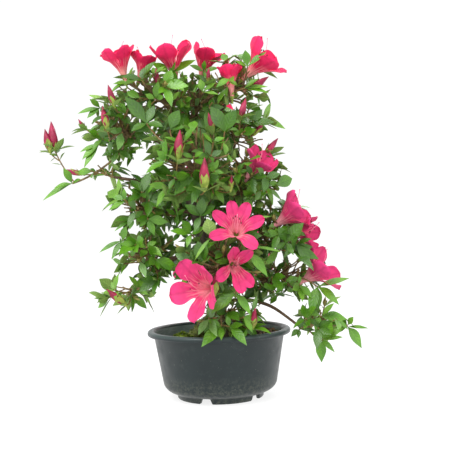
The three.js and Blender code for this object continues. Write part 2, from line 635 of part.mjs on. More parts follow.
// A flower's corolla: a closed cup whose rim runs out to a point at each lobe and in between two lobes.
function corolla(start, along, width, opens, lobes, grow) {
  const [side, other] = across(along);
  const open = degrees(opens);
  const tube = width * COROLLA.tube;
  const throat = width * COROLLA.throat + grow;
  const petal = width * COROLLA.petal + grow;
  // Each ring is a height and a radius at a lobe, and the share of the lobe that is left between two.
  const rings = [
    [0, 0, 1],
    [-grow, COROLLA.neck + grow, 1],
    [tube, throat, 1],
    [tube + petal * Math.cos(open), throat + petal * Math.sin(open), COROLLA.sinus],
    [tube + COROLLA.petalThickness + grow, throat * 0.8, 1],
    [tube * 0.55, 0, 1],
  ];
  const profile = rings.map(([, radius], i) => new THREE.Vector2(radius ? 1 : 0, i));
  const lathe = new THREE.LatheGeometry(profile, lobes * 2);
  return reshape(lathe, (place) => {
    const ring = Math.round(place.y);
    const turn = Math.atan2(place.x, place.z);
    const [height, radius, sinus] = rings[ring];
    const lobe = Math.cos(turn * lobes) > 0 ? 1 : sinus;
    const out = radius === 0 ? 0 : THREE.MathUtils.lerp(throat, radius, ring === 3 ? lobe : 1);
    const up = THREE.MathUtils.lerp(tube, height, ring === 3 ? lobe : 1);
    return start
      .clone()
      .addScaledVector(along, up)
      .addScaledVector(side, out * Math.sin(turn))
      .addScaledVector(other, -out * Math.cos(turn));
  });
}

// The solids of one flower. grow makes each a little larger, for testing.
function flowerSolids(shoot, grow = 0) {
  const { width, opens, lobes = 5 } = shoot.flower;
  const calyx = shoot.place.clone().addScaledVector(shoot.facing, CALYX);
  const neck = calyx.clone().addScaledVector(shoot.facing, SUNK);
  const stalk = tube(new THREE.LineCurve3(insideTwig(shoot, SUNK), neck), () => 1 + grow, 1, 3);
  return [stalk, corolla(calyx, shoot.facing, width, opens, lobes, grow)].map(solidOf);
}

function budSolids(shoot, grow = 0) {
  const [side] = across(shoot.facing);
  const radius = shoot.bud * 0.15 + grow;
  const length = shoot.bud + SUNK;
  const corner = (x, y) => [x * radius, y * radius];
  return [solidOf(spindle(5, insideTwig(shoot, SUNK), shoot.facing, side, length, 0.5, corner))];
}

// A leaf is flat above and keeled below, and its tip droops.
function leafSolid(leaf, grow = 0) {
  const { root, along, face, length } = leaf;
  const half = (length * LEAF.width) / 2 + grow;
  const keel = length * LEAF.thickness + 2 * grow;
  const corner = (x, y, share) => [Math.sign(Math.round(x * 4)) * half, y < -0.9 ? grow - keel : grow * y];
  const geometry = spindle(3, root, along, face, length, LEAF.widest, corner);
  return solidOf(
    reshape(geometry, (place) => {
      const share = place.clone().sub(root).dot(along) / length;
      return place.addScaledVector(UP, -LEAF.droop * length * share * share);
    }),
  );
}

function twigSolid(twig, grow = 0) {
  const size = (joint) => TWIG.tip * Math.max(1, joint.load) ** TWIG.growth + grow;
  const radius = (share) => THREE.MathUtils.lerp(size(twig.joints[0]), size(twig.joints.at(-1)), share);
  return solidOf(tube(twig.curve, radius, twig.joints.length, TWIG.sides));
}

const pieceOf = (solid) => ({ solid, box: solid.boundingBox() });

// A piece is kept if it stays clear of every limb and of every piece of another mass.
function clearOf(taken, tests) {
  return tests.every((test) => {
    const box = test.boundingBox();
    return taken.every((other) => {
      const apart = [0, 1, 2].some((i) => box.min[i] > other.box.max[i] || box.max[i] < other.box.min[i]);
      return apart || test.intersect(other.solid).volume() < 1e-6;
    });
  });
}

function growMass(crown, mass, seed) {
  const random = seeded(seed);
  const limb = crown.limbs.find((each) => each.name === mass.on);
  const tree = startTree(mass, limb);
  const root = tree.joints[0].place;
  const shoots = [...mass.shoots, ...addedShoots(crown, mass, random, SPACING, TRIES)];
  shoots.sort((a, b) => a.place.distanceTo(root) - b.place.distanceTo(root));
  for (const shoot of shoots) shoot.twig = growTwig(tree, shoot.place, shoot.facing);

  // outer is what keeps clear of the mass's own pieces too.
  const own = [];
  const keep = (solids, tests, outer = []) => {
    if (!clearOf(crown.taken, tests) || !clearOf(own, outer)) return false;
    own.push(...solids.map(pieceOf));
    return true;
  };

  // A twig stands where the one that it leaves stands. The stem may come close to its limb's tip.
  const standing = new Set([null]);
  for (const twig of tree.twigs) {
    if (!standing.has(twig.from.twig)) continue;
    if (keep([twigSolid(twig)], [twigSolid(twig, twig.from.twig ? GAP : 0)])) standing.add(twig);
  }

  // Flowers and buds come first and leaves after them, so that no leaf takes a flower's room.
  const borne = shoots.filter((shoot) => standing.has(shoot.twig));
  for (const shoot of borne) {
    if (shoot.flower) keep(flowerSolids(shoot), flowerSolids(shoot, GAP));
    if (shoot.bud) keep(budSolids(shoot), budSolids(shoot, GAP));
  }
  const points = [];
  for (const shoot of borne) {
    const added = [];
    for (const leaf of whorl(shoot, random)) {
      if (added.length === WHORL.leaves || !leafFits(crown, mass, leaf, points)) continue;
      const root = leaf.root.clone().addScaledVector(leaf.along, (1 - LEAF.free) * leaf.length);
      const outer = leafSolid({ ...leaf, root, length: LEAF.free * leaf.length }, GAP);
      if (keep([leafSolid(leaf)], [leafSolid(leaf, GAP)], [outer])) added.push(leafPoints(leaf));
    }
    points.push(...added.flat());
  }
  const whole = own.reduce((sum, piece) => sum.add(piece.solid), own[0].solid);
  return { geometry: geometryOf(largestBody(whole)), own };
}

const group = new THREE.Group();

function add(name, geometry, look) {
  const mesh = new THREE.Mesh(geometry, new THREE.MeshStandardMaterial(COLOURS[look]));
  mesh.name = name;
  group.add(mesh);
}

const limbs = [trunkLimb()];
BOUGHS.forEach((bough, index) => limbs.push(boughLimb(bough, index, limbs)));
limbs.forEach((limb) => (limb.beads = beadsOf(limb)));

add("pot", geometryOf(potSolid()), "pot");
add("soil", geometryOf(solidOf(soilSolid())), "soil");
// A bough is cut clear of the limb that it leaves.
function limbGeometry(limb) {
  if (!limb.parent) return geometryOf(limbSolid(limb));
  return geometryOf(largestBody(limbSolid(limb).subtract(limbSolid(limb.parent, GAP))));
}

// It is rolled on where the cut leaves a sliver.
for (const limb of limbs) {
  let geometry = limbGeometry(limb);
  for (; !geometry; geometry = limbGeometry(limb)) limb.roll += 0.2;
  add(limb.name, geometry, "bark");
}

const masses = MASSES.map((mass) => ({ ...mass, centre: vector(mass.centre), shoots: [] }));
const crown = { limbs, masses, claims: [], flowers: [], taken: [] };
for (const shoot of SHOOTS) {
  const place = vector(shoot.at);
  const [mass] = [...masses].sort((a, b) => depthIn(a, place) - depthIn(b, place));
  mass.shoots.push({ ...shoot, place, facing: heading(shoot.facing) });
  crown.claims.push({ centre: place, radius: CLAIM * shoot.leaf, mass });
  if (shoot.flower) {
    const ball = flowerBall(shoot);
    crown.flowers.push(ball);
    crown.claims.push({ centre: ball.centre, radius: ball.radius + 4, mass });
  }
}
for (const node of ["pot", "soil", ...limbs.map((limb) => limb.name)]) {
  crown.taken.push(pieceOf(solidOf(group.getObjectByName(node).geometry)));
}
// A mass whose pieces don't join into a closed surface is grown again from another seed.
masses.forEach((mass, index) => {
  let grown = growMass(crown, mass, index);
  for (let again = 1; !grown.geometry; again++) grown = growMass(crown, mass, index + again * masses.length);
  crown.taken.push(...grown.own);
  add(mass.name, grown.geometry, "foliage");
});

export default group;
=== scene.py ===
import json
import math

import bpy
import numpy as np
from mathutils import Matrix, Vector, noise

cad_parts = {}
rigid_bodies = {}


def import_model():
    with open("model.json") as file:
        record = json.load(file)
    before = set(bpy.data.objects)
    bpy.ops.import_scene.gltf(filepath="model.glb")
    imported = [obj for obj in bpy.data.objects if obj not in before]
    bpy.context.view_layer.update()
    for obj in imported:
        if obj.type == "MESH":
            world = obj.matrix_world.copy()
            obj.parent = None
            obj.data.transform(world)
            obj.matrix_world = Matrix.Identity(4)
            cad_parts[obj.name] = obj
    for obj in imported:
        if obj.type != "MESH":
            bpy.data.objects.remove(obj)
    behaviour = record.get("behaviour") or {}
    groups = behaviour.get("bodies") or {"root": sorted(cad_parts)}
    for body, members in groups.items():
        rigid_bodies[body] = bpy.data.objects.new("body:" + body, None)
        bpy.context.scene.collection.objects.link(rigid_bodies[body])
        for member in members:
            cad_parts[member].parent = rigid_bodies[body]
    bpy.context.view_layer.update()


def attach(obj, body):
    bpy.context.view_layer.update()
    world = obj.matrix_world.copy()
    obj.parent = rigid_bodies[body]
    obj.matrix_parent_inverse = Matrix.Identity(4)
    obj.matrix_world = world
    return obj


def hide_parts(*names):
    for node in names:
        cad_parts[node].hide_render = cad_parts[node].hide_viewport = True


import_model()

# Azalea trained as a small informal tree and in flower, standing in a round plastic training pot.
# Sizes are millimetres until a mesh is made, and +Z is up. The front is -Y.
METRE = 0.001
GAP = 0.3  # between a mass's stem and its limb, and between the soil and the pot
UP = np.array([0.0, 0.0, 1.0])


# The camera looks level along +Y, and is rolled a little.
CAMERA = {"place": (10.6, -850, 178), "lens": 64.3, "sensor": 36, "roll": 1.7}

camera = bpy.data.objects.new("camera", bpy.data.cameras.new("camera"))
bpy.context.scene.collection.objects.link(camera)
camera.location = [value * METRE for value in CAMERA["place"]]
camera.rotation_euler = (math.radians(90), math.radians(CAMERA["roll"]), 0)
camera.data.lens = CAMERA["lens"]
camera.data.sensor_width = CAMERA["sensor"]
camera.data.clip_start = 0.02
bpy.context.scene.camera = camera

# A soft studio: an even white sky, a wide softbox at the front left, a fill on the right and a light behind.
SKY = 1.05
LIGHTS = [
    {"name": "key", "place": (-500, -700, 1100), "size": 800, "watts": 12},
    {"name": "fill", "place": (900, -500, 500), "size": 900, "watts": 2},
    {"name": "rim", "place": (300, 900, 900), "size": 700, "watts": 4},
]
LIT = (0, 0, 200)  # what the lights point at
FLOOR = {"half": 6000, "patch": 300, "dark": 0.2, "light": 0.22, "roughness": 0.95, "glow": 0.82}

# The pot, from its foot ring up to its rolled rim.
POT = {
    "height": 71,
    "rim_radius": 75,
    "lip_depth": 5.6,
    "lip_round": 2.4,
    "wall": 1.8,
    "wall_top_radius": 68.4,
    "bend_radius": 59.5,
    "bend_height": 15.5,
    "foot_radius": 45,
    "foot_width": 3.4,
    "foot_height": 5,
    "disc_radius": 14,
    "disc_height": 2,
    "notches": 5,
    "notch_width": 14,
    "notch_slope": 3.4,
    "notch_height": 6.1,
    "notch_turn": -109,
    "drains": 5,
    "drain_radius": 4,
    "drain_circle": 26,
    "sides": 240,
}
WELD = 0.001  # points closer than this are joined

# The soil's surface: a seat under the trunk, a bank round it and a rise towards the right.
SOIL = {
    "seat_radius": 27,
    "seat_height": 61.7,
    "edge_height": 50,
    "rise": 15,
    "rise_turn": 22,
    "smooth_within": 12,
    "fade": 8,
    "skirt": 16,
    "rings": 70,
    "sides": 160,
}
SOIL_RELIEF = {"depth": 1.3, "fineness": 0.11}
GRAINS = {"count": 1500, "least": 0.7, "most": 2.3, "off_trunk": 19, "seed": 51}
MOSS = {
    "tufts": 900,
    "on_root": 420,
    "on_cushion": 90,
    "start": 11,
    "reach": 34,
    "thick_within": 17,
    "patch": 0.06,
    "blades": 6,
    "blade": 2.4,
    "blade_width": 0.64,
    "seed": 52,
}
# Cushions of moss on the left of the trunk: x, y, z, radius.
CUSHIONS = [(-38, -14, 64, 6), (-31, -20, 62, 5), (-44, -6, 61, 5)]

# The trunk's line from the soil to its tip, and its radius at each of those points.
TRUNK_LINE = [
    (-4, 0, 62),
    (-2, -2, 86),
    (-3, -2, 112),
    (-8, 0, 146),
    (-20, 2, 188),
    (-36, 1, 232),
    (-46, -1, 262),
    (-42, -2, 292),
]
TRUNK_RADII = [12.5, 9.2, 7.8, 6.8, 5.4, 4.2, 3.3, 2.3]
FLARE = {"spurs": 5, "depth": 0.34, "height": 24}
BARK = {"relief": 0.075, "along": 0.05, "round": 1.7, "knots": 0.03, "knots_along": 0.16}
LIMB_MESH = {"trunk": (150, 48), "root": (50, 28), "bough": (60, 16)}  # rings and sides
KINK = 0.04  # how far a bough may swerve, as a share of its length

# The root that runs out on the left and down into the soil.
ROOT_LINE = [(-6, -4, 84), (-14, -7, 76), (-25, -10, 67), (-38, -13, 58)]
ROOT_RADII = [6, 6.5, 5, 3]

# Each bough leaves another limb at a share of its length and ends where its foliage starts.
# name, from, at, end, lift, base radius, tip radius
BOUGHS = [
    ("bough_upper_left", "trunk", 0.87, (-84, -10, 272), 5, 2.6, 1.5),
    ("bough_left_arm", "trunk", 0.72, (-104, -14, 232), -3, 2.5, 1.4),
    ("bough_left", "trunk", 0.56, (-66, -12, 190), 4, 2.4, 1.3),
    ("bough_lower_left", "trunk", 0.34, (-62, -8, 141), 6, 2.7, 1.4),
    ("bough_left_foot", "bough_lower_left", 0.6, (-80, -20, 118), 2, 1.6, 1.2),
    ("bough_top_right", "trunk", 0.8, (14, -8, 306), -6, 2.6, 1.4),
    ("bough_top_middle", "bough_top_right", 0.42, (-20, 4, 290), 3, 1.5, 1.2),
    ("bough_right_upper", "trunk", 0.54, (22, -2, 264), -8, 2.8, 1.5),
    ("bough_right", "trunk", 0.44, (26, -14, 214), -7, 2.9, 1.5),
    ("bough_right_side", "trunk", 0.33, (46, -4, 166), 2, 2.8, 1.5),
    ("bough_right_low", "trunk", 0.22, (44, 2, 122), 4, 2.7, 1.4),
    ("bough_right_foot", "trunk", 0.14, (82, -28, 74), 15, 2.2, 1.3),
    ("bough_front_low", "trunk", 0.12, (6, -34, 88), 6, 2, 1.3),
    ("bough_front", "trunk", 0.3, (8, -34, 136), 3, 2.2, 1.3),
    ("bough_centre", "trunk", 0.62, (-14, -30, 220), 3, 2, 1.3),
    ("bough_back_top", "trunk", 0.77, (-22, 44, 276), -5, 2.2, 1.4),
    ("bough_back", "trunk", 0.5, (-16, 44, 204), 2, 2.4, 1.4),
    ("bough_back_low", "trunk", 0.24, (12, 42, 130), 3, 2.5, 1.4),
]

# The masses of foliage: each fills its own part of an ellipsoid, and one bough, or the trunk, carries it.
# name, on, centre, radii
MASSES = [
    ("foliage_top_left", "trunk", (-58, -8, 320), (44, 44, 25)),
    ("foliage_upper_left", "bough_upper_left", (-98, -14, 286), (30, 38, 32)),
    ("foliage_top_right", "bough_top_right", (30, -8, 328), (30, 40, 26)),
    ("foliage_top_middle", "bough_top_middle", (-12, 0, 310), (32, 42, 28)),
    ("foliage_back_top", "bough_back_top", (-24, 66, 290), (58, 38, 38)),
    ("foliage_left_arm", "bough_left_arm", (-116, -12, 240), (15, 16, 10)),
    ("foliage_left", "bough_left", (-74, -8, 204), (30, 42, 28)),
    ("foliage_lower_left", "bough_lower_left", (-75, -10, 154), (30, 42, 24)),
    ("foliage_left_foot", "bough_left_foot", (-92, -22, 113), (22, 26, 12)),
    ("foliage_centre", "bough_centre", (-20, -48, 240), (48, 32, 40)),
    ("foliage_right_upper", "bough_right_upper", (32, -4, 280), (24, 42, 26)),
    ("foliage_right", "bough_right", (38, -18, 228), (32, 46, 30)),
    ("foliage_right_side", "bough_right_side", (66, -4, 174), (34, 46, 32)),
    ("foliage_right_low", "bough_right_low", (68, -2, 124), (40, 44, 24)),
    ("foliage_right_foot", "bough_right_foot", (104, -32, 80), (22, 22, 16)),
    ("foliage_front_low", "bough_front_low", (8, -52, 92), (34, 26, 18)),
    ("foliage_front", "bough_front", (4, -54, 144), (42, 28, 34)),
    ("foliage_back", "bough_back", (-18, 66, 216), (62, 38, 38)),
    ("foliage_back_low", "bough_back_low", (8, 64, 144), (62, 38, 36)),
]

# Shoots that show one by one: the place of the whorl of leaves at the shoot's end, its azimuth and elevation,
# and its leaf length. A fourth value is a bud's length, or a flower's width, opening angle and lobes: their
# number, or the turn of each one where that shows.
SHOOTS = [
    # flowers at the top and on the upper right
    ((-87, -18, 324), (215, 74), 17, (46, 38, 5)),
    ((-78, -10, 324), (-10, 72), 18, (40, 34, 5)),
    ((-36, -12, 322), (250, 72), 24, (54, 42, 5)),
    ((-14, 14, 326), (-30, 72), 22, (50, 36, 5)),
    ((28, -14, 325), (-20, 40), 22, (56, 46, 5)),
    ((21, -26, 304), (240, 84), 18, (40, 24, 5)),
    ((38, 18, 316), (140, 56), 20, (42, 36, 5)),
    ((27, -30, 219), (-30, 44), 20, (46, 38, 5)),
    # the large lower flowers
    ((20, -58, 167), (-88, 18), 26, (46, 76, (17, 65, 100, 145, 198, 310))),
    ((14, -52, 142), (-80, -10), 26, (46, 56, (55, 100, 200, 283, 314))),
    ((2, -60, 118), (-128, 2), 28, (56, 56, 5)),
    # flowers on the right side
    ((53, -28, 172), (-14, 34), 26, (52, 42, 5)),
    ((67, -16, 170), (-20, -2), 20, (42, 44, 5)),
    ((80, -18, 114), (-18, 32), 22, (53, 52, 5)),
    # flowers at the back
    ((-34, 94, 268), (105, 30), 22, (50, 55, 5)),
    ((8, 92, 284), (78, 36), 22, (48, 45, 5)),
    ((-14, 98, 222), (95, 10), 24, (52, 66, 5)),
    ((21, 96, 172), (82, 6), 24, (50, 62, 5)),
    ((-20, 90, 118), (110, -4), 24, (48, 60, 5)),
    ((32, 92, 130), (72, 8), 22, (50, 52, 5)),
    ((30, 76, 230), (72, 12), 20, (44, 44, 5)),
    # buds
    ((-165, -10, 262), (150, 82), 22, 31),
    ((-169, -13, 259), (176, 78), 12, 26),
    ((-137, -10, 236), (176, 16), 13, 20),
    ((-96, -50, 299), (200, 74), 16, 23),
    ((-104, -50, 276), (200, 80), 14, 25),
    ((-133, -10, 284), (185, 55), 22, 12),
    ((-54, -34, 320), (200, 86), 22, 20),
    ((-34, -74, 242), (0, 84), 24, 30),
    ((-9, -80, 212), (-60, 86), 24, 32),
    ((28, -40, 284), (0, 74), 22, 23),
    ((1, -46, 272), (190, 76), 20, 20),
    ((42, -26, 270), (0, 54), 22, 18),
    ((52, -24, 250), (0, 48), 16, 22),
    ((16, -58, 212), (0, 84), 22, 16),
    ((-92, -38, 101), (192, 42), 14, 26),
    ((34, -66, 78), (-60, 76), 22, 21),
    ((-2, -76, 112), (-30, 84), 16, 22),
    ((39, -18, 318), (-20, 28), 18, 24),
    ((-3, -30, 324), (-80, 70), 22, 15),
    # whorls of leaves that stand out of the crown
    ((-112, -22, 234), (215, 40), 14, None),
    ((-92, -24, 150), (186, -8), 24, None),
    ((-112, -24, 108), (198, -14), 26, None),
    ((65, -24, 218), (-20, 12), 28, None),
    ((54, -18, 284), (-16, 20), 24, None),
    ((-12, -78, 142), (-110, 50), 26, None),
    ((-80, -48, 162), (-110, 14), 26, None),
    ((-60, -42, 126), (-120, -10), 24, None),
    ((78, -46, 152), (-50, 10), 30, None),
]

# Looks: colours as they show on a screen, then what the material's function asks for.
LEAF_LOOKS = {
    "leaf_dark": ((52, 94, 14), (72, 118, 24), 0.26),
    "leaf_mid": ((74, 128, 18), (102, 156, 34), 0.28),
    # The greyish leaf tint is a painted sheen: grey-green colour in place of a glossy reflection.
    "leaf_painted_sheen": ((84, 130, 50), (120, 164, 84), 0.26),
    "leaf_young": ((90, 144, 30), (124, 170, 56), 0.36),
    "leaf_under": ((112, 148, 62), (142, 174, 86), 0.6),
}
# Each flower has two of these: one on its lobes and the next one, paler, in its throat, partly the throat's
# own pale colour and partly painted light against the shade inside the tube.
PETAL_LOOKS = {
    "petal": ((250, 140, 150), (234, 26, 84), (242, 38, 102), 0.75),
    "petal_throat_pale_and_lit": ((250, 160, 156), (238, 50, 96), (244, 42, 102), 0.75),
    "petal_cool": ((246, 140, 160), (216, 48, 106), (226, 60, 126), 0.5),
    "petal_cool_throat_pale_and_lit": ((246, 160, 170), (222, 70, 116), (228, 62, 124), 0.5),
}
PLAIN_LOOKS = {
    "bud_petal": ((124, 14, 50), (176, 30, 78), 8, 0.45),
    "calyx": ((120, 142, 48), (168, 182, 80), 5, 0.6),
    "bud_scale": ((128, 112, 58), (160, 158, 84), 4, 0.6),
    "stamen": ((236, 120, 150), (248, 160, 176), 6, 0.55),
    "anther": ((70, 34, 40), (104, 58, 52), 2, 0.7),
    "twig_young": ((120, 86, 48), (144, 124, 68), 7, 0.6),
    "twig_woody": ((98, 78, 54), (154, 130, 92), 5, 0.75, 0.3),
    "grain_dark": ((44, 32, 24), (66, 50, 36), 1.5, 0.9),
    "grain_brown": ((88, 66, 44), (120, 92, 62), 1.5, 0.9),
    "grain_tan": ((132, 106, 74), (158, 134, 100), 1.5, 0.9),
    "moss": ((108, 134, 34), (168, 190, 66), 4, 0.85),
}
POT_LOOK = {
    "dark": (20, 32, 34),
    "light": (30, 42, 43),
    "dust": (66, 76, 72),
    "soiled": (88, 92, 80),
    "soiled_heights": (30, 16),
    # The lip's lighter colour is partly dust and partly a painted highlight.
    "lip": (84, 100, 98),
    "speck": (124, 130, 118),
    # The inner wall's colours are lighter than the outside's: partly dust, partly painted light.
    "inside_dark_dusty_and_lit": (80, 100, 97),
    "inside_light_dusty_and_lit": (104, 122, 116),
    "chalk": (150, 164, 152),
}
SOIL_LOOK = {"dark": (40, 29, 20), "middle": (76, 58, 40), "light": (118, 96, 70), "moss": (84, 96, 44)}
BARK_MOSS = {"colour": (118, 130, 60), "heights": (105, 70)}
PETAL_STREAK = (255, 178, 178)
BARK_LOOKS = {
    "bark": ((52, 44, 36), (88, 78, 64), (122, 112, 96), 1.0),
    "bough_bark": ((64, 46, 34), (98, 74, 56), (130, 106, 84), 0.2),
}
DARK, MID, PAINTED_SHEEN, YOUNG, UNDER = range(len(LEAF_LOOKS))
# The greyish tint among these is a painted sheen.
TINTS = [0.42, 0.4, 0.12, 0.06]  # the shares of dark, middling, greyish and young shoots
# Painted light: above this height more shoots take the lighter tints, painted sheen among them, because light
# falls on the crown's top.
LIT_TOP = {"above": 250, "lighter": 0.12}  # the height above which more of them are light

# Sprays, whose leaves show one by one: the place they grow from, their look, and each leaf's reach from there
# to its tip and its width as a share of its length.
SPRAYS = [
    # the low spray on the right
    ((101, -36, 114), MID,
     [(32, -4, 8, 0.22), (-9, -6, -29, 0.5), (21, -2, -20, 0.44), (0, 4, -28, 0.5)]),
    ((103, -38, 84), MID, [(26, -3, -3, 0.5), (-7, -8, -14, 0.58), (-16, 4, 8, 0.45)]),
    ((104, -39, 85), YOUNG, [(12, -6, 13, 0.3)]),
    ((131, -30, 72), MID,
     [(21, -2, -2, 0.2), (13, -4, -24, 0.56), (-18, -4, -6, 0.4), (-12, 4, 12, 0.5)]),
    ((131, -32, 74), YOUNG, [(5, -6, 9, 0.5)]),
    ((102, -38, 61), MID,
     [(12, -6, 18, 0.6), (0, -6, -25, 0.62), (14, -2, -14, 0.4), (-8, 2, 8, 0.5)]),
    ((82, -31, 71), DARK,
     [(-9, -4, -7, 0.6), (-2, -5, -9, 0.6), (2, -4, 14, 0.5), (16, -4, -1, 0.3)]),
    ((104, -40, 61), YOUNG, [(22, -2, 12, 0.28), (20, -6, 3, 0.25)]),
    # over the pot's rim
    ((3, -70, 81), MID, [(-19, -14, -18, 0.46), (0, -14, -12, 0.4), (-13, -2, 7, 0.5)]),
    ((11, -72, 81), MID, [(16, -13, -18, 0.42), (13, -6, 2, 0.5), (-2, -2, 11, 0.42)]),
    # between the lower flowers
    ((18, -74, 113), MID, [(14, -6, -23, 0.42), (-24, -8, -19, 0.45)]),
    ((31, -72, 152), MID, [(18, -8, -26, 0.4)]),
    ((-4, -78, 168), UNDER, [(-3, -3, 18, 0.66)]),
    ((-4, -77, 167), YOUNG, [(-17, -2, -24, 0.18)]),
    ((38, -68, 184), YOUNG, [(17, -4, 2, 0.18)]),
    ((36, -70, 157), YOUNG, [(28, -4, -6, 0.13)]),
    # in front of the trunk
    ((-14, -62, 188), DARK,
     [(-15, -6, 12, 0.5), (15, -6, 10, 0.5), (3, -8, 19, 0.45), (-6, -8, -16, 0.5)]),
    ((-24, -60, 171), MID,
     [(-20, -6, 4, 0.4), (-8, -8, 14, 0.5), (14, -6, 6, 0.5), (-4, -8, -14, 0.45)]),
    # the top
    ((12, -56, 271), DARK, [(-13, -8, 24, 0.5), (12, -8, 20, 0.55)]),
    ((-65, -50, 282), DARK,
     [(-20, -6, 26, 0.4), (-15, -8, -9, 0.5), (17, -8, -5, 0.48), (8, 2, 18, 0.45)]),
    ((-42, -50, 275), DARK, [(10, -4, 19, 0.6), (15, -8, 1, 0.5)]),
    ((-62, -58, 241), DARK, [(18, -6, -19, 0.45), (23, -4, -14, 0.42)]),
    ((-42, -22, 336), MID,
     [(-18, -6, 10, 0.5), (27, -6, 12, 0.36), (6, -8, 12, 0.5), (-8, -8, -8, 0.45)]),
    ((-38, -30, 323), MID,
     [(-16, -6, 5, 0.5), (15, -6, 6, 0.45), (2, -10, 12, 0.5),
      (-10, -8, -10, 0.45), (11, -8, -9, 0.45)]),
    ((-8, -16, 338), MID,
     [(-14, -6, 6, 0.45), (16, -6, 2, 0.45), (2, -8, 10, 0.4), (4, -8, -11, 0.4)]),
    ((-9, -34, 314), YOUNG, [(-2, -4, 13, 0.5), (14, -4, 9, 0.35), (16, -6, -4, 0.3)]),
    ((-40, -38, 305), YOUNG, [(-6, -4, 13, 0.5), (8, -4, 9, 0.4)]),
    ((37, -36, 338), MID, [(-2, -4, 16, 0.5), (19, -6, 13, 0.3), (-12, -4, 5, 0.4)]),
    ((33, -38, 316), MID, [(24, -4, 0, 0.24), (25, -6, -7, 0.22), (14, -6, 8, 0.35)]),
    # the left side
    ((-148, -10, 227), MID,
     [(-8, -4, 16, 0.4), (-18, -6, -5, 0.34), (-31, -2, -18, 0.24), (10, -6, 4, 0.42)]),
    ((-118, -16, 266), MID, [(-17, -6, -17, 0.42), (-15, -8, -27, 0.34), (-20, -2, -8, 0.3)]),
    ((-116, -14, 304), MID, [(-23, -4, -6, 0.3), (-13, -6, -12, 0.5), (-10, -4, 9, 0.5)]),
    ((-95, -30, 292), DARK,
     [(-18, -6, 6, 0.45), (-10, -8, -14, 0.5), (14, -6, -10, 0.45), (8, -6, 13, 0.5)]),
    ((-114, -20, 271), MID,
     [(-14, -6, 10, 0.45), (4, -6, 16, 0.45), (14, -6, -4, 0.45), (-10, -6, -12, 0.4)]),
    ((-97, -28, 258), DARK,
     [(-16, -6, -6, 0.45), (-6, -6, -16, 0.5), (14, -6, -10, 0.5), (8, -6, 12, 0.45)]),
    ((-84, -20, 188), MID,
     [(-20, -4, -13, 0.22), (-19, -4, -1, 0.3), (-4, -6, -12, 0.5), (11, -6, 8, 0.45)]),
    ((-36, -24, 172), DARK,
     [(-9, -4, 9, 0.45), (9, -4, 9, 0.45), (-8, -6, -9, 0.5), (9, -6, -7, 0.5)]),
    ((-40, -26, 190), MID, [(-10, -4, 7, 0.45), (10, -4, 6, 0.45), (1, -6, -12, 0.45)]),
    ((-62, -24, 176), DARK,
     [(-11, -4, 8, 0.45), (9, -4, 8, 0.5), (-10, -6, -9, 0.4), (9, -6, -8, 0.5)]),
    # beside the star-shaped flower
    ((70, -50, 160), DARK,
     [(17, -6, 19, 0.5), (-8, -6, 16, 0.5), (-12, -6, -8, 0.45), (6, -8, -14, 0.5)]),
    ((80, -46, 158), DARK, [(13, -6, -24, 0.5), (-13, -6, -14, 0.5), (15, -6, 5, 0.35)]),
    # low on the left
    ((-97, -18, 166), MID,
     [(-23, -6, -12, 0.24), (6, -8, 15, 0.45), (18, -8, -4, 0.45), (-10, -8, -21, 0.35)]),
]

# Gaps in the crown that let the sky through from front to back: x and z where the line of sight from the
# camera meets the crown's middle plane, and a radius.
GAPS = [
    (-123, 250, 9), (-129, 300, 8), (-111, 157, 8), (-99, 196, 7), (-97, 118, 8),
    (-89, 138, 7), (-88, 174, 6), (-80, 327, 7), (-53, 309, 7), (-48, 108, 7),
    (-46, 243, 6), (-32, 84, 14), (-25, 243, 6), (9, 341, 6), (15, 91, 5),
    (26, 249, 5), (26, 308, 6), (32, 263, 7), (46, 322, 6), (53, 268, 9),
    (57, 84, 9), (56, 329, 6), (63, 140, 6), (72, 92, 11), (78, 214, 9),
    (80, 145, 6), (82, 132, 7), (104, 165, 8), (113, 99, 7), (119, 85, 7),
]

# Twigs, leaves and flowers. The crown is grown by the solids' rule, with life-size leaves and finer twigs.
TWIG = {"tip": 0.72, "growth": 0.37, "step": 9, "station": 4, "sides": 6}
STEM = {"reach": 0.75, "bend": 0.5}  # how far a mass's stem goes towards its centre, and how it bends
# Which joint a twig leaves, and how it runs to its end. A joint costs less where the shoot faces away from
# it, and more the farther it is along the tree.
JOINING = {"ahead": 0.4, "along": 0.3, "nearest": 3, "apart": 0.28, "facing": 0.45, "bend": 0.42}
# Whorls that the rule adds: how far out in a mass they are, their leaves' lengths and how they rise.
ADDED = {"out": 0.35, "farther": 0.6, "lengths": (0.82, 1.1), "rising": 0.45}
SPACING = {"shoots": 14, "shoot_to_limb": 5, "leaf_to_limb": 2}
TRIES = 850  # places tried for a mass's shoots
# Bare twigs in a mass. Below a full product of the mass's radii, they are fewer.
BARE = {"most": 84, "reach": 1.0, "full": 45000}
CLAIM = 0.72  # the space round a shoot that is its mass's own, as a share of its leaf length
# The ball of space that a flower keeps, by shares of its width: how far out it is, its size and how that
# grows as the flower opens. Its mass claims a little more, in millimetres.
BALL = {"out": 0.22, "size": 0.2, "opened": 0.26, "claimed": 4}
BEADS = 24  # stretches of a limb that its distance is measured from
CALYX = 6  # from a shoot's end to its flower's tube, and the length of the calyx's scales
STAMENS = 5
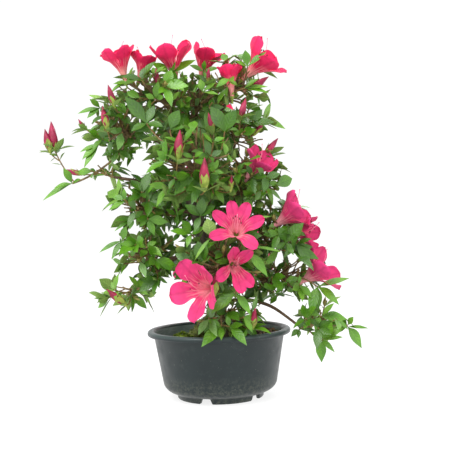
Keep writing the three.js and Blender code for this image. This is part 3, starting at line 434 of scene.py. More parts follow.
# A stamen and the style: their lengths as shares of the flower's depth, how far they bend and spread as
# shares of its width, and the radii of their tips.
STAMEN = {"lengths": (0.6, 0.8), "bends": (0.04, 0.12), "spread": 0.09, "tip": [0.3, 0.62, 0.6, 0.2]}
STYLE = {"lengths": (0.92, 1.04), "bend": 0.16, "spread": 0.03, "tip": [0.3, 0.45, 0.5, 0.3]}
FILAMENT = {"points": 9, "foot": 0.34, "end": 0.24, "sides": 5}
BUD = {"rings": 14, "sides": 15, "thick": 0.15, "furl": 0.1, "twist": 2.6}
FLOWER_STALK = [0.9, 0.9, 1.0, 1.3, 2.0, 2.3]  # radii from its foot to the calyx
BUD_STALK = [0.8, 1.0, 1.5, 1.8]
SCALES = {
    "calyx": {"count": 5, "wide": 0.5, "opens": 24},
    "sheath": {"count": 7, "wide": 0.44, "opens": 5},
    "outer_sheath": {"count": 4, "wide": 0.42, "opens": 20},
    "leaf_bud": {"count": 4, "wide": 0.42, "opens": 18},
}
LEAF_BUD = {"share": 0.16, "least": 7, "most": 12}
WHORL = {"outer": 5, "inner": 1, "spread": 62, "under_flower": 80, "at_edge": 46, "apart": 0.9}
INNER = {"turn": 0.9, "spread": 0.62, "length": 0.7}  # how a whorl's inner leaves differ from its outer ones
STEM_LEAVES = {"count": 3, "first": 7, "step": 5, "spread": 56, "length": 0.7}
LEAF = {"length": 21.5, "width": 0.44, "clear": 3.6, "compared": 160, "thick": 0.25, "stations": 9}
# From the least to the most of a leaf's length, width, droop and fold, as shares.
LEAF_RANGES = {"length": (0.62, 1.14), "width": (0.88, 1.12), "droop": (0.02, 0.26), "fold": (0.1, 0.42)}
SPRAY_LEAF = {"droop": 0.1, "hanging": 0.25, "fold": 0.2, "face": (0, -0.75, 0.65)}
VEINS = {"count": 7, "lean": 3.2}  # side veins on a leaf, and how far they lean forwards
COROLLA = {"tube": 0.36, "neck": 2.1, "petal": 0.47, "throat_lean": 44, "across": 11, "along": 28}
PETAL = {"round": 2.6, "waves": 24, "wave": 0.016, "groove": 0.012, "groove_width": 0.22, "cup": 0.035}
# How single lobes differ: by a turn round the flower, a tilt, a curl and where their waves start.
LOBE_RANGES = {"turn": (-0.07, 0.07), "tilt": (0.1, 0.3), "curl": (-0.12, 0.06), "waves_from": (0, 6)}
# Lobes: their half width as a share of the flower's, how far along they are joined, and how far they lean out
# at the tube's foot, its middle, the throat and beyond, as shares of the opening angle.
BROAD = {"wide": 0.205, "joined": 0.55, "lean": (0.06, 0.42, 0.76, 0.95, 1, 1.06)}
STARRY = {"wide": 0.138, "joined": 0.42, "lean": (0.05, 0.34, 0.68, 0.95, 1.03, 1.03)}
COOL_BELOW = 240  # the flowers below this height are a cooler pink
WARM, COOL = 0, 2  # where each pink's looks start


def vector(*values):
    return np.array(values, float)


GAP_PLACES = np.array([gap[:2] for gap in GAPS], float)
GAP_RADII = np.array([gap[2] for gap in GAPS], float)


def unit(values):
    return values / np.linalg.norm(values)


# The unit vector of an azimuth and an elevation in degrees.
def heading(azimuth, elevation):
    turn, rise = math.radians(azimuth), math.radians(elevation)
    return vector(math.cos(turn) * math.cos(rise), math.sin(turn) * math.cos(rise), math.sin(rise))


# A seeded source of numbers from low to high.
def seeded(seed):
    state = (seed * 2654435761) % 2**32

    def draw(low=0.0, high=1.0):
        nonlocal state
        state = (state * 1664525 + 1013904223) % 2**32
        return low + (high - low) * state / 2**32

    return draw


# Two unit vectors that are square to an axis and to each other.
def across(axis):
    guide = vector(1, 0, 0) if abs(axis[2]) > 0.9 else UP
    side = unit(np.cross(guide, axis))
    return side, np.cross(axis, side)


def smooth(value):
    share = np.clip(value, 0, 1)
    return share * share * (3 - 2 * share)


# A curve that is walked by its length, as a line of many short steps.
class Curve:
    def __init__(self, points):
        self.points = np.asarray(points, float)
        steps = np.linalg.norm(np.diff(self.points, axis=0), axis=1)
        self.lengths = np.concatenate([[0], np.cumsum(steps)])
        self.length = self.lengths[-1]

    def at(self, share):
        places = np.asarray(share) * self.length
        return np.stack([np.interp(places, self.lengths, self.points[:, i]) for i in range(3)], axis=-1)

    def tangent(self, share):
        near = min(max(share, 0.01), 0.99)
        return unit(self.at(near + 0.01) - self.at(near - 0.01))


# A smooth curve through every one of some points.
def through(points, steps=200):
    line = np.asarray(points, float)
    whole = np.vstack([2 * line[0] - line[1], line, 2 * line[-1] - line[-2]])
    shares = np.linspace(0, len(line) - 1, steps + 1)
    first = np.minimum(shares.astype(int), len(line) - 2)
    part = (shares - first)[:, None]
    before, start, end, after = (whole[first + i] for i in range(4))
    leave, arrive = 0.5 * (end - before), 0.5 * (after - start)
    square = -3 * start + 3 * end - 2 * leave - arrive
    cube = 2 * start - 2 * end + leave + arrive
    return Curve(start + leave * part + square * part**2 + cube * part**3)


# A curve from start to end that bends towards a control point.
def bent(start, control, end, steps=60):
    part = np.linspace(0, 1, steps + 1)[:, None]
    return Curve((1 - part) ** 2 * start + 2 * (1 - part) * part * control + part**2 * end)


# Collects the pieces of one mesh.
class Builder:
    def __init__(self):
        self.points = []
        self.faces = []
        self.looks = []
        self.marks = []
        self.count = 0

    def add(self, points, faces, looks=0, marks=None):
        points = np.asarray(points, float).reshape(-1, 3)
        marks = np.zeros((len(points), 2)) if marks is None else np.asarray(marks, float).reshape(-1, 2)
        faces = np.asarray(faces, int)
        self.points.append(points)
        self.marks.append(marks)
        self.faces.append(faces + self.count)
        self.looks.append(np.broadcast_to(looks, (len(faces),)))
        self.count += len(points)

    # Makes the object, in metres, with its marks as a UV map.
    def make(self, name, materials=(), soft=True):
        mesh = bpy.data.meshes.new(name)
        points = np.concatenate(self.points) * METRE
        faces = [face for block in self.faces for face in block.tolist()]
        mesh.from_pydata(points.tolist(), [], faces)
        for material in materials:
            mesh.materials.append(material)
        mesh.polygons.foreach_set("material_index", np.concatenate(self.looks).astype(np.int32))
        mesh.polygons.foreach_set("use_smooth", np.full(len(faces), soft))
        corners = np.empty(len(mesh.loops), np.int32)
        mesh.loops.foreach_get("vertex_index", corners)
        marks = np.concatenate(self.marks)[corners]
        mesh.uv_layers.new(name="marks").data.foreach_set("uv", marks.ravel().astype(np.float32))
        mesh.update()
        piece = bpy.data.objects.new(name, mesh)
        bpy.context.scene.collection.objects.link(piece)
        return piece

    # Makes a piece of the plant or its pot, in place of the solids that it stands for.
    def build(self, name, materials, slot, stands_for=(), soft=True):
        piece = self.make(name, materials, soft)
        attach(piece, "root")
        if stands_for:
            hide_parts(*stands_for)
        return piece


# The four-sided faces of a grid of rows and columns. closed joins the last column to the first.
def grid_faces(rows, columns, closed=False):
    last = columns if closed else columns - 1
    row, column = np.meshgrid(np.arange(rows - 1), np.arange(last), indexing="ij")
    beside = (column + 1) % columns
    corners = [row * columns + column, row * columns + beside]
    corners += [(row + 1) * columns + beside, (row + 1) * columns + column]
    return np.stack([corner.ravel() for corner in corners], axis=1)


# The points of a tube round a line of places, as rings by sides. radii has one size for each ring, or a size
# for each ring and side.
def tube_rings(places, radii, sides, roll=0.0):
    places = np.asarray(places, float)
    tangents = np.gradient(places, axis=0)
    tangents /= np.linalg.norm(tangents, axis=1)[:, None]
    side, _ = across(tangents[0])
    frames = []
    for tangent in tangents:
        side = unit(side - np.dot(side, tangent) * tangent)
        frames.append((side, np.cross(tangent, side)))
    one = np.array([pair[0] for pair in frames])[:, None, :]
    other = np.array([pair[1] for pair in frames])[:, None, :]
    turns = (np.arange(sides) * 2 * np.pi / sides + roll)[None, :, None]
    radii = np.asarray(radii, float)
    size = radii[:, None, None] if radii.ndim == 1 else radii[:, :, None]
    return places[:, None, :] + size * (np.cos(turns) * one + np.sin(turns) * other)


# Adds a tube, closed at both ends.
def add_tube(builder, places, radii, sides, look=0, roll=0.0):
    rings = tube_rings(places, radii, sides, roll)
    count = len(rings)
    share = np.repeat(np.linspace(0, 1, count), sides)
    turn = np.tile(np.arange(sides) / sides, count)
    marks = np.stack([turn, share], axis=1)
    builder.add(rings, grid_faces(count, sides, True), look, marks)
    for ring, place, flip in ((rings[0], places[0], True), (rings[-1], places[-1], False)):
        loop = np.vstack([ring, np.asarray(place)[None]])
        steps = np.arange(sides)
        fan = np.stack([steps, (steps + 1) % sides, np.full(sides, sides)], axis=1)
        builder.add(loop, fan[:, ::-1] if flip else fan, look)


# A material's nodes. Sizes are in millimetres.
class Nodes:
    def __init__(self, name):
        self.material = bpy.data.materials.new(name)
        self.material.use_nodes = True
        self.tree = self.material.node_tree
        self.shader = self.tree.nodes["Principled BSDF"]
        self.place = self.add("TexCoord").outputs["Object"]

    # Links a value to a socket, or sets the socket to a number, a grey or a colour.
    def fill(self, socket, value):
        if isinstance(value, bpy.types.NodeSocket):
            self.tree.links.new(value, socket)
        elif socket.type == "RGBA":
            socket.default_value = (*value, 1) if np.shape(value) else (value, value, value, 1)
        else:
            socket.default_value = value

    # Adds a node, with its inputs by name.
    def add(self, kind, **inputs):
        node = self.tree.nodes.new("ShaderNode" + kind)
        for name, value in inputs.items():
            self.fill(node.inputs[name.replace("_", " ")], value)
        return node

    # Sets the shader's colour, roughness and any other inputs by name.
    def shade(self, colour, roughness, **others):
        for name, value in {"Base Color": colour, "Roughness": roughness, **others}.items():
            self.fill(self.shader.inputs[name.replace("_", " ")], value)
        return self.material

    # Noise of a size, as its value.
    def noise(self, size, detail=3.0, stretch=None, roughness=0.55):
        place = self.place
        if stretch:
            place = self.add("Mapping", Vector=place, Scale=stretch).outputs["Vector"]
        scale = 1 / (size * METRE)
        node = self.add("TexNoise", Vector=place, Scale=scale, Detail=detail, Roughness=roughness)
        return node.outputs["Fac"]

    def cells(self, size):
        return self.add("TexVoronoi", Vector=self.place, Scale=1 / (size * METRE)).outputs["Distance"]

    # Colours or greys along a value, as stops of a place and a colour.
    def ramp(self, value, stops):
        node = self.add("ValToRGB", Fac=value)
        bar = node.color_ramp.elements
        while len(bar) < len(stops):
            bar.new(0.5)
        for element, (place, colour) in zip(bar, stops):
            element.position = place
            element.color = (*colour, 1) if len(np.shape(colour)) else (colour, colour, colour, 1)
        return node.outputs["Color"]

    # Soft patches of a size, from one colour or grey to another.
    def patches(self, size, low, high, detail=3.0):
        return self.ramp(self.noise(size, detail), [(0.3, low), (0.7, high)])

    def mix(self, share, first, second, kind="MIX"):
        node = self.add("Mix")
        node.data_type = "RGBA"
        node.blend_type = kind
        for socket, value in ((node.inputs[0], share), (node.inputs[6], first), (node.inputs[7], second)):
            self.fill(socket, value)
        return node.outputs[2]

    def product(self, first, *others):
        for value in others:
            first = self.mix(1.0, first, value, "MULTIPLY")
        return first

    def bump(self, height, depth, strength=1.0):
        node = self.add("Bump", Height=height, Distance=depth * METRE, Strength=strength)
        self.fill(self.shader.inputs["Normal"], node.outputs["Normal"])

    # How far a point is along a range of heights, from 0 to 1.
    def height_share(self, start, end):
        height = self.add("SeparateXYZ", Vector=self.place).outputs["Z"]
        node = self.add("MapRange", Value=height, From_Min=start * METRE, From_Max=end * METRE)
        return node.outputs["Result"]

    # The marks of a leaf or petal: X across it and Y along it.
    def marks(self):
        node = self.add("UVMap")
        node.uv_map = "marks"
        return node.outputs["UV"]

    def mark(self, axis):
        return self.add("SeparateXYZ", Vector=self.marks()).outputs[axis]

    # Noise that is drawn out along a petal.
    def streaks(self, across_count, along_count):
        place = self.add("Mapping", Vector=self.marks(), Scale=(across_count, along_count, 1))
        return self.add("TexNoise", Vector=place.outputs["Vector"], Scale=1, Detail=2).outputs["Fac"]

    # Side veins, which run out and forwards from the midrib: from 0 on a vein to a half midway between two.
    def veins(self):
        def figure(kind, *values):
            node = self.add("Math")
            node.operation = kind
            for socket, value in zip(node.inputs, values):
                self.fill(socket, value)
            return node.outputs["Value"]

        away = figure("ABSOLUTE", figure("SUBTRACT", self.mark("X"), 0.5))
        along = figure("MULTIPLY", self.mark("Y"), VEINS["count"])
        return figure("PINGPONG", figure("MULTIPLY_ADD", away, -VEINS["lean"], along), 0.5)


# A colour given as it looks on a screen, as the shader's linear colour.
def rgb(colour):
    values = np.array(colour) / 255
    return tuple(np.where(values <= 0.04045, values / 12.92, ((values + 0.055) / 1.055) ** 2.4))


# One material for each row of a table of looks.
def each_look(function, looks):
    return {name: function(name, *values) for name, values in looks.items()}


# A leaf's blade: patchy, darker at its base and lighter at its tip as painted shade and sheen, lighter along
# its midrib and along its side veins, and quilted.
def leaf_material(name, dark, light, roughness):
    nodes = Nodes(name)
    tone = nodes.ramp(nodes.noise(16, 2), [(0.35, rgb(dark)), (0.65, rgb(light))])
    midrib = nodes.ramp(nodes.mark("X"), [(0.0, 1.0), (0.46, 0.96), (0.5, 1.35), (0.54, 0.96), (1.0, 1.0)])
    # Painted shade and sheen: the blade darkens towards its base and lightens towards its tip.
    along = nodes.ramp(nodes.mark("Y"), [(0.0, 0.84), (0.5, 1.0), (1.0, 1.12)])
    side = nodes.veins()
    veins = nodes.ramp(side, [(0.0, 1.22), (0.12, 1.0), (0.5, 0.9)])
    colour = nodes.product(tone, nodes.product(midrib, along, veins))
    quilted = nodes.ramp(side, [(0.0, 0.0), (0.4, 1.0)])
    nodes.bump(nodes.mix(0.65, nodes.noise(1.6), quilted), 0.3, 0.7)
    return nodes.shade(colour, nodes.patches(6, roughness, roughness + 0.16), Specular_IOR_Level=0.6)


def plain_material(name, dark, light, size, roughness, depth=0.1):
    nodes = Nodes(name)
    colour = nodes.ramp(nodes.noise(size, 4), [(0.32, rgb(dark)), (0.68, rgb(light))])
    nodes.bump(nodes.noise(size * 0.5, 4), depth)
    return nodes.shade(colour, nodes.patches(size * 0.6, roughness, roughness + 0.12))


# A petal: a pale tube, a deep pink lobe darkened down its middle as painted shade along its groove, and pale
# streaks in the throat.
def petal_material(name, base, lobe, edge, streaky):
    nodes = Nodes(name)
    base, lobe, edge = rgb(base), rgb(lobe), rgb(edge)
    gradient = nodes.ramp(nodes.mark("Y"), [(0.0, base), (0.24, base), (0.46, lobe), (1.0, edge)])
    # Painted shade: the petal darkens down its middle, along its groove.
    rib = nodes.ramp(nodes.mark("X"), [(0.0, 1.0), (0.4, 0.97), (0.5, 0.8), (0.6, 0.97), (1.0, 1.0)])
    coloured = nodes.product(gradient, nodes.product(nodes.patches(5, 0.82, 1.04), rib))
    streaks = nodes.ramp(nodes.streaks(7, 1.2), [(0.5, 0.0), (0.62, streaky)])
    deep = nodes.ramp(nodes.mark("Y"), [(0.1, 0.3), (0.35, 1.0), (0.5, 0.75), (0.68, 0.0)])
    colour = nodes.mix(nodes.product(streaks, deep), coloured, rgb(PETAL_STREAK))
    nodes.bump(nodes.noise(2.2), 0.15, 0.6)
    return nodes.shade(colour, nodes.patches(3, 0.52, 0.66), Sheen_Weight=0.06, Specular_IOR_Level=0.22)


# The pot's outside: dusty plastic, soiled near the foot, lighter on its lip, partly dust and partly a painted
# highlight, and finely speckled.
def pot_material():
    nodes = Nodes("pot_plastic")
    plastic = nodes.patches(40, rgb(POT_LOOK["dark"]), rgb(POT_LOOK["light"]))
    dust = nodes.ramp(nodes.noise(9, 5, roughness=0.7), [(0.55, 0.0), (0.8, 0.4)])
    dusty = nodes.mix(dust, plastic, rgb(POT_LOOK["dust"]))
    splashes = nodes.ramp(nodes.noise(3.2, 6, roughness=0.75), [(0.44, 0.0), (0.7, 0.75)])
    low = nodes.height_share(*POT_LOOK["soiled_heights"])
    soiled = nodes.mix(nodes.product(splashes, low), dusty, rgb(POT_LOOK["soiled"]))
    # Painted highlight: the top of the lip is lighter, partly dust and partly light that the rim catches.
    lip = nodes.product(nodes.height_share(POT["height"] - 3.5, POT["height"] - 0.5), 0.55)
    lip_dust_and_highlight = nodes.mix(lip, soiled, rgb(POT_LOOK["lip"]))
    specks = nodes.ramp(nodes.noise(1.5, 2), [(0.73, 0.0), (0.78, 1.0)])
    colour = nodes.mix(specks, lip_dust_and_highlight, rgb(POT_LOOK["speck"]))
    nodes.bump(nodes.noise(2.4), 0.05, 0.5)
    return nodes.shade(colour, nodes.patches(12, 0.3, 0.46, 4), Specular_IOR_Level=0.4)


# The pot's inner wall: plastic lighter than the outside's, partly dust and partly painted light, and chalky
# where water has dried on it.
def pot_inside_material():
    nodes = Nodes("pot_inside_dusty_and_lit")
    # Painted light: the inner wall's plastic is lighter than the outside's, partly dust and partly lit
    # colour.
    plastic = nodes.patches(24, rgb(POT_LOOK["inside_dark_dusty_and_lit"]), rgb(POT_LOOK["inside_light_dusty_and_lit"]))
    chalk = nodes.ramp(nodes.noise(7, 5, (0.35, 0.35, 2.4), 0.7), [(0.46, 0.0), (0.7, 0.8)])
    nodes.bump(nodes.noise(2.4), 0.05, 0.5)
    return nodes.shade(nodes.mix(chalk, plastic, rgb(POT_LOOK["chalk"])), nodes.patches(9, 0.4, 0.6, 4))


# Bark, mossy near the soil.
def bark_material(name, dark, middle, light, mossy):
    nodes = Nodes(name)
    stops = [(0.3, rgb(dark)), (0.55, rgb(middle)), (0.75, rgb(light))]
    wood = nodes.ramp(nodes.noise(6, 5, (1, 1, 0.3)), stops)
    moss = nodes.ramp(nodes.noise(5, 4), [(0.42, 0.0), (0.56, mossy)])
    share = nodes.mix(nodes.height_share(*BARK_MOSS["heights"]), 0.0, moss)
    nodes.bump(nodes.noise(2.2, 5, (1, 1, 0.35)), 0.6, 0.8)
    return nodes.shade(nodes.mix(share, wood, rgb(BARK_MOSS["colour"])), 0.85)


def soil_material():
    nodes = Nodes("soil")
    stops = [(0.3, rgb(SOIL_LOOK["dark"])), (0.5, rgb(SOIL_LOOK["middle"])), (0.72, rgb(SOIL_LOOK["light"]))]
    earth = nodes.ramp(nodes.noise(3, 6), stops)
    moss = nodes.ramp(nodes.noise(14, 4), [(0.53, 0.0), (0.62, 0.8)])
    nodes.bump(nodes.cells(1.6), 0.9, 0.8)
    return nodes.shade(nodes.mix(moss, earth, rgb(SOIL_LOOK["moss"])), 0.95)


# The floor and the lights.
def add_stage():
    nodes = Nodes("floor")
    tone = nodes.patches(FLOOR["patch"], FLOOR["dark"], FLOOR["light"])
    nodes.shade(tone, FLOOR["roughness"], Emission_Color=(1, 1, 1), Emission_Strength=FLOOR["glow"])
    half = FLOOR["half"]
    floor = Builder()
    corners = [(-half, -half, 0), (half, -half, 0), (half, half, 0), (-half, half, 0)]
    floor.add(corners, [(0, 1, 2, 3)])
    floor.make("floor", [nodes.material], soft=False)
    world = bpy.data.worlds.new("studio")
    world.use_nodes = True
    background = world.node_tree.nodes["Background"]
    background.inputs["Color"].default_value = (1, 1, 1, 1)
    background.inputs["Strength"].default_value = SKY
    bpy.context.scene.world = world
    for light in LIGHTS:
        lamp = bpy.data.lights.new(light["name"], "AREA")
        lamp.size = light["size"] * METRE
        lamp.energy = light["watts"]
        holder = bpy.data.objects.new(light["name"], lamp)
        place = Vector(light["place"]) * METRE
        holder.location = place
        holder.rotation_euler = (Vector(LIT) * METRE - place).to_track_quat("-Z", "Y").to_euler()
        bpy.context.scene.collection.objects.link(holder)
    bpy.context.scene.view_settings.view_transform = "Standard"


# The pot's outline from the middle of its underside, over the rim and down to the middle of its floor.
def pot_profile():
    height, rim, wall, curl = POT["height"], POT["rim_radius"], POT["wall"], POT["lip_round"]
    foot, low, top = POT["foot_radius"], POT["foot_height"], POT["wall_top_radius"]
    bend, bend_height = POT["bend_radius"], POT["bend_height"]
    disc, step = POT["disc_radius"], POT["disc_height"]
    inner_foot = foot - POT["foot_width"]
    under = height - POT["lip_depth"]
    points = [(0, step), (disc, step), (inner_foot, low), (inner_foot, 2.5), (inner_foot + 0.4, 0)]
    points += [(foot - 0.5, 0), (foot, 0.6), (foot + 0.3, 3), (foot + 0.6, low)]

    def curve_to(control, end, steps):
        corners = (np.array(corner, float) for corner in (points[-1], control, end))
        points.extend(bent(*corners, steps).points[1:])

    curve_to((bend - 2, low + 3), (bend, bend_height), 8)
    points += [(top - 0.3, under - 1.2), (top + 0.6, under - 0.2), (rim - curl - 1, under)]
    curve_to((rim, under), (rim, under + curl), 5)
    curve_to((rim, height), (rim - curl * 1.6, height), 6)
    curve_to((top - wall + 0.8, height), (top - wall, height - curl * 1.6), 6)
    points.append((bend - wall, bend_height))
    curve_to((bend - wall - 2, low + 3 + wall), (inner_foot, low + wall), 6)
    points += [(disc, step + wall), (0, step + wall)]
    return np.array(points)


# How far a notch lifts the foot ring at an angle, as a share.
def notch_share(turn):
    pitch = 2 * np.pi / POT["notches"]
    off = (turn - math.radians(POT["notch_turn"]) + pitch / 2) % pitch - pitch / 2
    reach = np.abs(off) * POT["foot_radius"]
    return smooth((POT["notch_width"] / 2 - reach) / POT["notch_slope"])


def add_pot(shell_material, inside_material):
    sides = POT["sides"]
    profile = pot_profile()
    turns = np.arange(sides) * 2 * np.pi / sides
    radius = profile[:, 0][:, None] * np.ones_like(turns)
    height = profile[:, 1][:, None] * np.ones_like(turns)
    foot = (profile[:, 1] < POT["notch_height"]) & (profile[:, 0] > POT["disc_radius"] + 1)
    lifted = height + (POT["notch_height"] - height) * notch_share(turns)[None, :]
    height = np.where(foot[:, None], lifted, height)
    points = np.stack([radius * np.cos(turns), radius * np.sin(turns), height], axis=-1)
    faces = grid_faces(len(profile), sides, True)
    past_rim = np.arange(len(profile)) > profile[:, 1].argmax()
    # The inner wall's faces take the lighter inside material: partly dust, partly painted light.
    inside = past_rim & (profile[:, 0] < POT["wall_top_radius"] - POT["wall"] + 0.5)
    shell = Builder()
    shell.add(points, faces[:, ::-1], inside[faces[:, 0] // sides].astype(int))
    pot = shell.build("pot_shell", [shell_material, inside_material], "pot", ["pot"])
    drains = Builder()
    for i in range(POT["drains"]):
        turn = 2 * math.pi * (i + 0.5) / POT["drains"]
        x, y = POT["drain_circle"] * math.cos(turn), POT["drain_circle"] * math.sin(turn)
        add_tube(drains, [(x, y, -10), (x, y, 20)], [POT["drain_radius"]] * 2, 32)
    holes = drains.make("drains", soft=False)
    for piece in (pot, holes):
        piece.modifiers.new("weld", "WELD").merge_threshold = WELD * METRE
    cut = pot.modifiers.new("cut", "BOOLEAN")
    cut.object = holes
    cut.solver = "EXACT"
    apply_modifiers(pot)
    bpy.data.objects.remove(holes)


# Replaces an object's mesh with what its modifiers make of it.
def apply_modifiers(piece):
    bpy.context.view_layer.update()
    shown = piece.evaluated_get(bpy.context.evaluated_depsgraph_get())
    mesh = bpy.data.meshes.new_from_object(shown)
    piece.modifiers.clear()
    piece.data = mesh


# The soil's radius at a height, a little inside the pot's wall.
def inside_radius(height):
    share = (height - POT["bend_height"]) / (POT["height"] - POT["lip_round"] - POT["bend_height"])
    return POT["bend_radius"] + (POT["wall_top_radius"] - POT["bend_radius"]) * share - POT["wall"] - GAP


# How far a place is from the trunk's axis at the soil.
def off_trunk(x, y):
    return np.hypot(x - TRUNK_LINE[0][0], y - TRUNK_LINE[0][1])


# The height of the soil's mound, before its relief.
def soil_height(x, y):
    seat = SOIL["seat_radius"]
    share = np.clip((off_trunk(x, y) - seat) / (POT["wall_top_radius"] - seat), 0, 1)
    turn = np.arctan2(y, x) - math.radians(SOIL["rise_turn"])
    edge = SOIL["edge_height"] + SOIL["rise"] * (0.5 + 0.5 * np.cos(turn))
    return SOIL["seat_height"] + (edge - SOIL["seat_height"]) * (1 - (1 - share) ** 2)


# A closed pebble: a ball of a few faces, squeezed and roughened.
def pebble(random, size):
    rings, sides = 5, 7
    points = [(0, 0, -1)]
    for i in range(1, rings):
        rise = math.pi * (i / rings - 0.5)
        for j in range(sides):
            turn = 2 * math.pi * (j + 0.5 * (i % 2)) / sides
            points.append((math.cos(rise) * math.cos(turn), math.cos(rise) * math.sin(turn), math.sin(rise)))
    points.append((0, 0, 1))
    points = np.array(points)
    rough = np.array([random(0.8, 1.2) for _ in points])[:, None]
    squeeze = vector(random(0.7, 1.2), random(0.7, 1.2), random(0.5, 0.9))
    faces = []
    for j in range(sides):
        beside = (j + 1) % sides
        faces.append((0, 1 + beside, 1 + j))
        last = 1 + (rings - 2) * sides
        faces.append((last + j, last + beside, len(points) - 1))
        for i in range(rings - 2):
            low, high = 1 + i * sides, 1 + (i + 1) * sides
            faces.append((low + j, low + beside, high + beside))
            faces.append((low + j, high + beside, high + j))
    return points * rough * squeeze * size, faces


# The soil's surface, with a skirt at its edge that goes down inside the pot's wall.
def add_soil(material):
    rings, sides = SOIL["rings"], SOIL["sides"]
    turns = np.arange(sides) * 2 * np.pi / sides

    def spread(radius):
        reach = np.linspace(0, 1, rings)[:, None] * radius * np.ones_like(turns)
        return reach * np.cos(turns), reach * np.sin(turns)

    x, y = spread(inside_radius(SOIL["edge_height"]))
    x, y = spread(inside_radius(soil_height(x, y)))
    relief = np.array([[soil_relief(x[i, j], y[i, j]) for j in range(sides)] for i in range(rings)])
    rough = smooth((off_trunk(x, y) - SOIL["smooth_within"]) / SOIL["fade"])
    points = np.stack([x, y, soil_height(x, y) + relief * rough - 0.2], axis=-1)
    skirt = [points[-1], points[-1] * vector(0.93, 0.93, 1) - UP * SOIL["skirt"]]
    surface = Builder()
    surface.add(points, grid_faces(rings, sides, True))
    surface.add(skirt, grid_faces(2, sides, True))
    surface.build("soil_surface", [material], "soil", ["soil"])


def add_grains(grain_materials):
    random = seeded(GRAINS["seed"])
    grains = Builder()
    for _ in range(GRAINS["count"]):
        turn = random(0, 2 * math.pi)
        out = math.sqrt(random(0.05, 1)) * (inside_radius(SOIL["edge_height"]) - 1)
        size = random(GRAINS["least"], GRAINS["most"]) * random(0.6, 1)
        x, y = out * math.cos(turn), out * math.sin(turn)
        if off_trunk(x, y) < GRAINS["off_trunk"]:
            continue
        points, faces = pebble(random, size)
        spin = random(0, 2 * math.pi)
        east = vector(math.cos(spin), -math.sin(spin), 0)
        north = vector(math.sin(spin), math.cos(spin), 0)
        look = int(random(0, len(grain_materials)))
        z = soil_height(x, y) + soil_relief(x, y) + size * 0.2
        grains.add(points @ np.array([east, north, UP]) + vector(x, y, z), faces, look)
    grains.build("soil_grains", grain_materials, "soil", soft=False)


# Moss on the soil round the trunk, on the cushions and on the root.
def add_moss(material, root):
    random = seeded(MOSS["seed"])
    moss = Builder()
    for _ in range(MOSS["tufts"]):
        turn = random(0, 2 * math.pi)
        out = MOSS["start"] + MOSS["reach"] * random() ** 1.6
        x = TRUNK_LINE[0][0] + out * math.cos(turn)
        y = TRUNK_LINE[0][1] + out * math.sin(turn)
        patch = noise.noise(Vector((x * MOSS["patch"], y * MOSS["patch"], 7.0)))
        bare = patch < 0.02 + 0.012 * (out - MOSS["thick_within"])
        if not bare and math.hypot(x, y) <= inside_radius(SOIL["edge_height"]) - 4:
            add_tuft(moss, vector(x, y, soil_height(x, y) + soil_relief(x, y) - 0.4), UP, random)
    for x, y, z, size in CUSHIONS:
        points, faces = pebble(random, size)
        moss.add(points + vector(x, y, z), faces)
        for _ in range(MOSS["on_cushion"]):
            away = heading(random(0, 360), random(10, 90))
            add_tuft(moss, vector(x, y, z) + away * size * random(0.75, 0.95), away, random)
    for _ in range(MOSS["on_root"]):
        place = random(0.05, 1)
        away = heading(random(0, 360), random(5, 90))
        middle = root["curve"].at(place)
        if noise.noise(Vector(middle) * 0.2 + Vector(away)) > -0.12:
            add_tuft(moss, middle + away * root["radius"](place) * 0.9, away, random)
    moss.build("moss", [material], "soil")


# A tuft of moss: a few short blades that lean out round a heading.
def add_tuft(moss, base, out, random):
    for _ in range(MOSS["blades"]):
        lean = unit(heading(random(0, 360), random(35, 85)) + out)
        wide = across(lean)[0] * MOSS["blade_width"] / 2
        foot = base + vector(random(-1.2, 1.2), random(-1.2, 1.2), 0)
        tip = foot + lean * MOSS["blade"] * random(0.5, 1.1)
        middle = (foot + tip) / 2
        moss.add([foot - wide, foot + wide, middle + wide, middle - wide], [(0, 1, 2, 3)])
        moss.add([middle - wide, middle + wide, tip], [(0, 1, 2)])


def soil_relief(x, y):
    fineness = SOIL_RELIEF["fineness"]
    place = Vector((float(x) * fineness, float(y) * fineness, 3.0))
    relief = noise.noise(place) + 0.5 * noise.noise(place * 2.7) + 0.25 * noise.noise(place * 6.1)
    return SOIL_RELIEF["depth"] * relief


# A limb is a curve with a radius along it. This one follows a line of places, with a radius at each.
def lined_limb(name, line, radii):
    shares = np.linspace(0, 1, len(radii))
    return {"name": name, "curve": through(line), "radius": lambda share: np.interp(share, shares, radii)}


def bough_limb(bough, index, limbs):
    name, start_on, at, end, lift, base, tip = bough
    random = seeded(900 + index)
    start = next(limb for limb in limbs if limb["name"] == start_on)["curve"].at(at)
    run = vector(*end) - start
    side, _ = across(unit(run))
    kink = np.linalg.norm(run) * KINK
    points = []
    for share in (0, 1 / 3, 2 / 3, 1):
        bow = 4 * share * (1 - share)
        points.append(start + run * share + UP * lift * bow + side * random(-kink, kink) * bow)
    return {"name": name, "curve": through(points), "radius": lambda share: base + (tip - base) * share}


